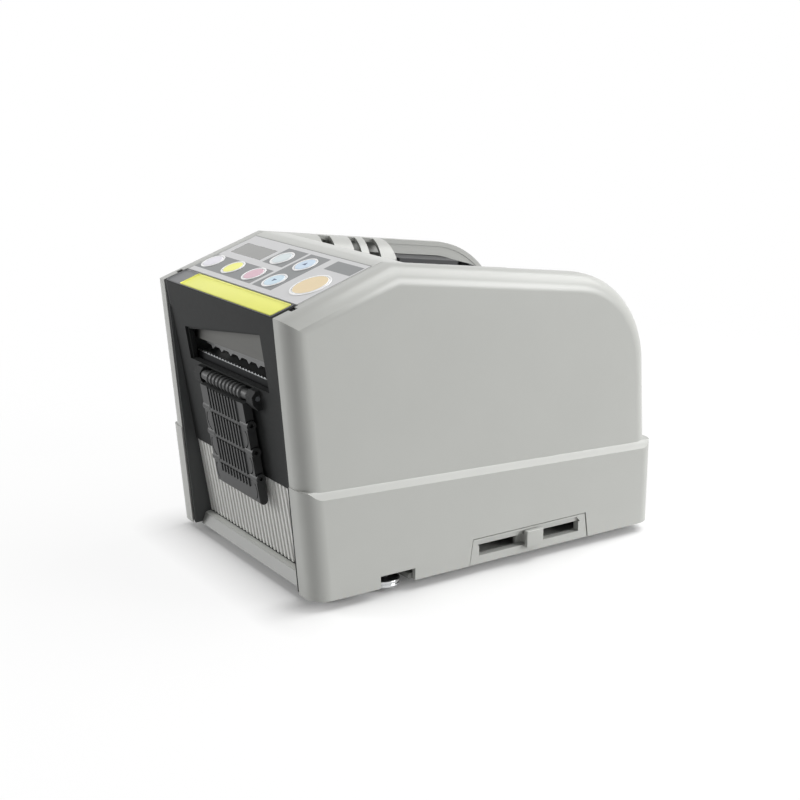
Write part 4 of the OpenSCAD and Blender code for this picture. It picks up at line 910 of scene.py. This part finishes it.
class AddKeyRings(bpy.types.Operator):
    """Add the white rims around the keys"""

    bl_idname = "dispenser.add_key_rings"
    bl_label = "Add Key Rings"

    def execute(self, context):
        models = {}
        for node in KEY_COLOURS:
            x, s, radius = key_centre(node)
            span = round(radius, 2)
            if span not in models:
                models[span] = key_ring("rim_model", radius)
            rim = copy_to(models[span], node + "_rim", on_panel(x, s, 0.0))
            settle(rim, "ring", "body", "overlay")
        for model in models.values():
            bpy.data.objects.remove(model)
        return {"FINISHED"}


# Direction marks on the two blue keys: node, and whether it is turned to point down the slope
KEY_MARKS = [("key_blue_rear", False), ("key_blue_front", True)]

# Size of a mark, height of the keys' faces over the panel and of a mark's middle over them,
# millimetres
MARK_RADIUS = 1.5
MARK_DEPTH = 0.1
MARK_EDGE = 0.03
KEY_FACE = 0.4
MARK_STAND = 0.03


class AddKeyMarks(bpy.types.Operator):
    """Add the plain direction marks on the two blue keys"""

    bl_idname = "dispenser.add_key_marks"
    bl_label = "Add Key Marks"

    def execute(self, context):
        for node, turned_round in KEY_MARKS:
            x, s, _ = key_centre(node)
            clear_selection()
            bpy.ops.mesh.primitive_cylinder_add(
                vertices=3, radius=MARK_RADIUS * MM, depth=MARK_DEPTH * MM,
                location=on_panel(x, s, KEY_FACE + MARK_STAND), rotation=(PANEL_TILT, 0.0, 0.0))
            mark = bpy.context.active_object
            mark.name = node + "_mark"
            if turned_round:
                bpy.ops.object.mode_set(mode="EDIT")
                bpy.ops.mesh.select_all(action="SELECT")
                bpy.ops.transform.rotate(
                    value=math.pi, orient_axis="Z", orient_type="LOCAL",
                    center_override=on_panel(x, s, KEY_FACE))
                bpy.ops.object.mode_set(mode="OBJECT")
            round_edges(mark, MARK_EDGE * MM)
            settle(mark, "mark", body_with(node), slot_of(node))
        return {"FINISHED"}


# The yellow strip on the cover and its grey backing: X from and to, slope from and to, millimetres
STRIP_FIELD = (-38.4, 52.4, 0.9, 11.6)
BACKING_FIELD = (-53.0, 53.2, 0.35, 12.1)

# Rounding of their corners, and the depth to which the backing is let into the cover, millimetres
STRIP_CORNER = 0.6
BACKING_SINK = 0.02


class AddCoverStrip(bpy.types.Operator):
    """Add the plain yellow strip and its grey backing on the cover"""

    bl_idname = "dispenser.add_cover_strip"
    bl_label = "Add Cover Strip"

    def execute(self, context):
        thickness = sizes().strip_thickness / MM
        backing = panel_plate(
            "strip_backing", *BACKING_FIELD, -BACKING_SINK, thickness / 2, STRIP_CORNER)
        settle(backing, "backing", "front_cover", "cover_black")
        strip = panel_plate(
            "cover_strip", *STRIP_FIELD, thickness / 4, thickness, STRIP_CORNER)
        settle(strip, "strip", "front_cover", "cover_black")
        return {"FINISHED"}


# The camera, fitted to the machine's edges
CAMERA_PLACE = Vector((558.1, -369.15, 249.0)) * MM
CAMERA_AZIMUTH = math.radians(56.84)
CAMERA_ELEVATION = math.radians(15.12)
CAMERA_LENS = 62.15
CAMERA_SENSOR = 36.0
CAMERA_NEAR = 0.01

# Lamps: name, place, target and width in metres, and power in watts
LAMPS = [
    ("top lamp", (0.25, 0.9, 1.25), (0.0, 0.0, 0.05), 1.4, 19.5),
    ("rear side lamp", (1.4, 1.1, 0.6), (0.0, 0.0, 0.07), 0.9, 22.3),
    ("front lamp", (-1.2, -1.3, 0.5), (0.0, 0.0, 0.07), 0.9, 18.0),
]

# Strength of the light from all around, and the rays that see plain white as the camera does
FILL_LIGHT = 0.25
WHITE = (1.0, 1.0, 1.0)
MIRROR_RAYS = ("Is Glossy Ray", "Is Transmission Ray")

# Side of the floor; it is solid up to the first radius and has faded into the white backdrop
# at the second, metres
FLOOR_SIDE = 8.0
FLOOR_FULL = 0.22
FLOOR_GONE = 0.6

# Colour with which the floor throws light back on the machine, and its own tones for the camera
FLOOR_BOUNCE = (0.65, 0.65, 0.65)
FLOOR_TONES = ((0.95, 0.95, 0.95), (0.98, 0.98, 0.975))
FLOOR_SCALE = 3.0

# Share of white glow, painted light over the floor that lightens the machine's shadow, at the machine's foot and
# from the given distance on, metres
FLOOR_PAINTED_LIGHT = (0.03, 0.9)
FLOOR_SHADE = 0.03

# Power with which that painted light grows before the machine and on its right, so that the
# shadow is lifted more in front than on the right, and the X, metres, between which it changes
FLOOR_GROWTH = (0.5, 2.4)
FLOOR_TURN = (0.045, 0.07)


def add_lamp(name, place, target, size, energy):
    """A soft area lamp that looks at a target."""
    light = bpy.data.lights.new(name, "AREA")
    light.shape = "DISK"
    light.size = size
    light.energy = energy
    lamp = bpy.data.objects.new(name, light)
    bpy.context.scene.collection.objects.link(lamp)
    lamp.location = place
    lamp.rotation_euler = (Vector(target) - Vector(place)).to_track_quat("-Z", "Y").to_euler()


class SetStage(bpy.types.Operator):
    """Set the floor, the backdrop light, the lamps and the camera"""

    bl_idname = "dispenser.set_stage"
    bl_label = "Set Stage"

    def execute(self, context):
        scene = context.scene
        scene.view_settings.view_transform = "Standard"
        self.add_floor()
        self.light_world(scene)
        for lamp in LAMPS:
            add_lamp(*lamp)
        self.add_camera(scene)
        return {"FINISHED"}

    def add_floor(self):
        """A pale floor that keeps the machine's shadow, lightened by painted light, and fades into the backdrop.
        """
        clear_selection()
        bpy.ops.mesh.primitive_plane_add(size=FLOOR_SIDE, location=(0.0, 0.0, 0.0))
        floor = bpy.context.active_object
        floor.name = "floor"
        finish = Finish("floor")
        seen = finish.node("ShaderNodeLightPath", output="Is Camera Ray")
        for ray in MIRROR_RAYS:
            seen = seen.math("MAXIMUM", finish.node("ShaderNodeLightPath", output=ray))
        pale = finish.mix(finish.grain(FLOOR_SCALE), *FLOOR_TONES)
        finish.set(
            Base_Color=finish.mix(seen, FLOOR_BOUNCE, pale), Roughness=0.85,
            Specular_IOR_Level=0.1)
        white = finish.node("ShaderNodeEmission", values={"Color": WHITE, "Strength": 1.0})
        # Painted light: a white glow over the floor lightens the machine's shadow
        finish.cover_with(white, seen * self.painted_light_of(finish))
        reach = finish.node(
            "ShaderNodeVectorMath", {"operation": "LENGTH"}, {0: finish.place()}, "Value")
        gone = finish.node(
            "ShaderNodeMapRange", {"interpolation_type": "SMOOTHSTEP"},
            {"Value": reach, "From Min": FLOOR_FULL, "From Max": FLOOR_GONE})
        finish.cover_with(finish.node("ShaderNodeBsdfTransparent"), gone)
        floor.data.materials.append(finish.material)

    def painted_light_of(self, finish):
        """Share of painted white light over the floor's shadow, growing with the distance from the base."""
        low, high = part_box("base_tray")
        past = []
        for i in (0, 1):
            offset = (finish.axis(i) - (low[i] + high[i]) / 2).math("ABSOLUTE")
            past.append((offset - (high[i] - low[i]) / 2).math("MAXIMUM", 0.0))
        away = (past[0] * past[0] + past[1] * past[1]).math("SQRT")
        growth = finish.node(
            "ShaderNodeMapRange", {"interpolation_type": "SMOOTHSTEP"},
            {"Value": finish.axis(0), "From Min": FLOOR_TURN[0], "From Max": FLOOR_TURN[1],
             "To Min": FLOOR_GROWTH[0], "To Max": FLOOR_GROWTH[1]})
        share = (away * (1.0 / FLOOR_SHADE)).math("MINIMUM", 1.0).math("POWER", growth)
        return share * (FLOOR_PAINTED_LIGHT[1] - FLOOR_PAINTED_LIGHT[0]) + FLOOR_PAINTED_LIGHT[0]

    def light_world(self, scene):
        """Soft light from all around, and plain white where the camera, gloss or glass sees it."""
        world = bpy.data.worlds.new("studio")
        scene.world = world
        world.use_nodes = True
        tree = world.node_tree
        fill = tree.nodes["Background"]
        white = tree.nodes.new("ShaderNodeBackground")
        for light, strength in ((fill, FILL_LIGHT), (white, 1.0)):
            light.inputs["Color"].default_value = (*WHITE, 1.0)
            light.inputs["Strength"].default_value = strength
        paths = tree.nodes.new("ShaderNodeLightPath")
        seen = paths.outputs["Is Camera Ray"]
        for ray in MIRROR_RAYS:
            either = tree.nodes.new("ShaderNodeMath")
            either.operation = "MAXIMUM"
            tree.links.new(seen, either.inputs[0])
            tree.links.new(paths.outputs[ray], either.inputs[1])
            seen = either.outputs[0]
        join = tree.nodes.new("ShaderNodeMixShader")
        for socket, source in zip(join.inputs, (seen, fill.outputs[0], white.outputs[0])):
            tree.links.new(source, socket)
        tree.links.new(join.outputs[0], tree.nodes["World Output"].inputs["Surface"])

    def add_camera(self, scene):
        """The camera at the machine's front right."""
        lens = bpy.data.cameras.new("photo camera")
        lens.lens = CAMERA_LENS
        lens.sensor_width = CAMERA_SENSOR
        lens.clip_start = CAMERA_NEAR
        camera = bpy.data.objects.new("photo camera", lens)
        scene.collection.objects.link(camera)
        look = Vector((
            -math.sin(CAMERA_AZIMUTH) * math.cos(CAMERA_ELEVATION),
            math.cos(CAMERA_AZIMUTH) * math.cos(CAMERA_ELEVATION),
            -math.sin(CAMERA_ELEVATION)))
        camera.location = CAMERA_PLACE
        camera.rotation_euler = look.to_track_quat("-Z", "Y").to_euler()
        scene.camera = camera


OPERATORS = [
    DressHousing, DressFront, DressKeypad, DressFeedUnit, DressCutter, DressReel,
    DressSideControls, AddKeyRings, AddKeyMarks, AddCoverStrip, SetStage,
]


class DispenserPanel(bpy.types.Panel):
    """Lists the dispenser's pieces in the sidebar"""

    bl_idname = "VIEW3D_PT_tape_dispenser"
    bl_label = "Tape Dispenser"
    bl_space_type = "VIEW_3D"
    bl_region_type = "UI"
    bl_category = "Tape Dispenser"

    def draw(self, context):
        for operator in OPERATORS:
            self.layout.operator(operator.bl_idname)
        for group in (context.scene.dispenser_colours, context.scene.dispenser_sizes):
            for name in group.__annotations__:
                self.layout.prop(group, name)


CLASSES = [DispenserColours, DispenserSizes] + OPERATORS + [DispenserPanel]


def register():
    for each in CLASSES:
        bpy.utils.register_class(each)
    bpy.types.Scene.dispenser_colours = bpy.props.PointerProperty(type=DispenserColours)
    bpy.types.Scene.dispenser_sizes = bpy.props.PointerProperty(type=DispenserSizes)


def unregister():
    del bpy.types.Scene.dispenser_sizes
    del bpy.types.Scene.dispenser_colours
    for each in reversed(CLASSES):
        bpy.utils.unregister_class(each)


def main():
    register()
    bpy.ops.dispenser.dress_housing()
    bpy.ops.dispenser.dress_front()
    bpy.ops.dispenser.dress_keypad()
    bpy.ops.dispenser.dress_feed_unit()
    bpy.ops.dispenser.dress_cutter()
    bpy.ops.dispenser.dress_reel()
    bpy.ops.dispenser.dress_side_controls()
    bpy.ops.dispenser.add_key_rings()
    bpy.ops.dispenser.add_key_marks()
    bpy.ops.dispenser.add_cover_strip()
    bpy.ops.dispenser.set_stage()
    clear_selection()


if __name__ == "__main__":
    main()
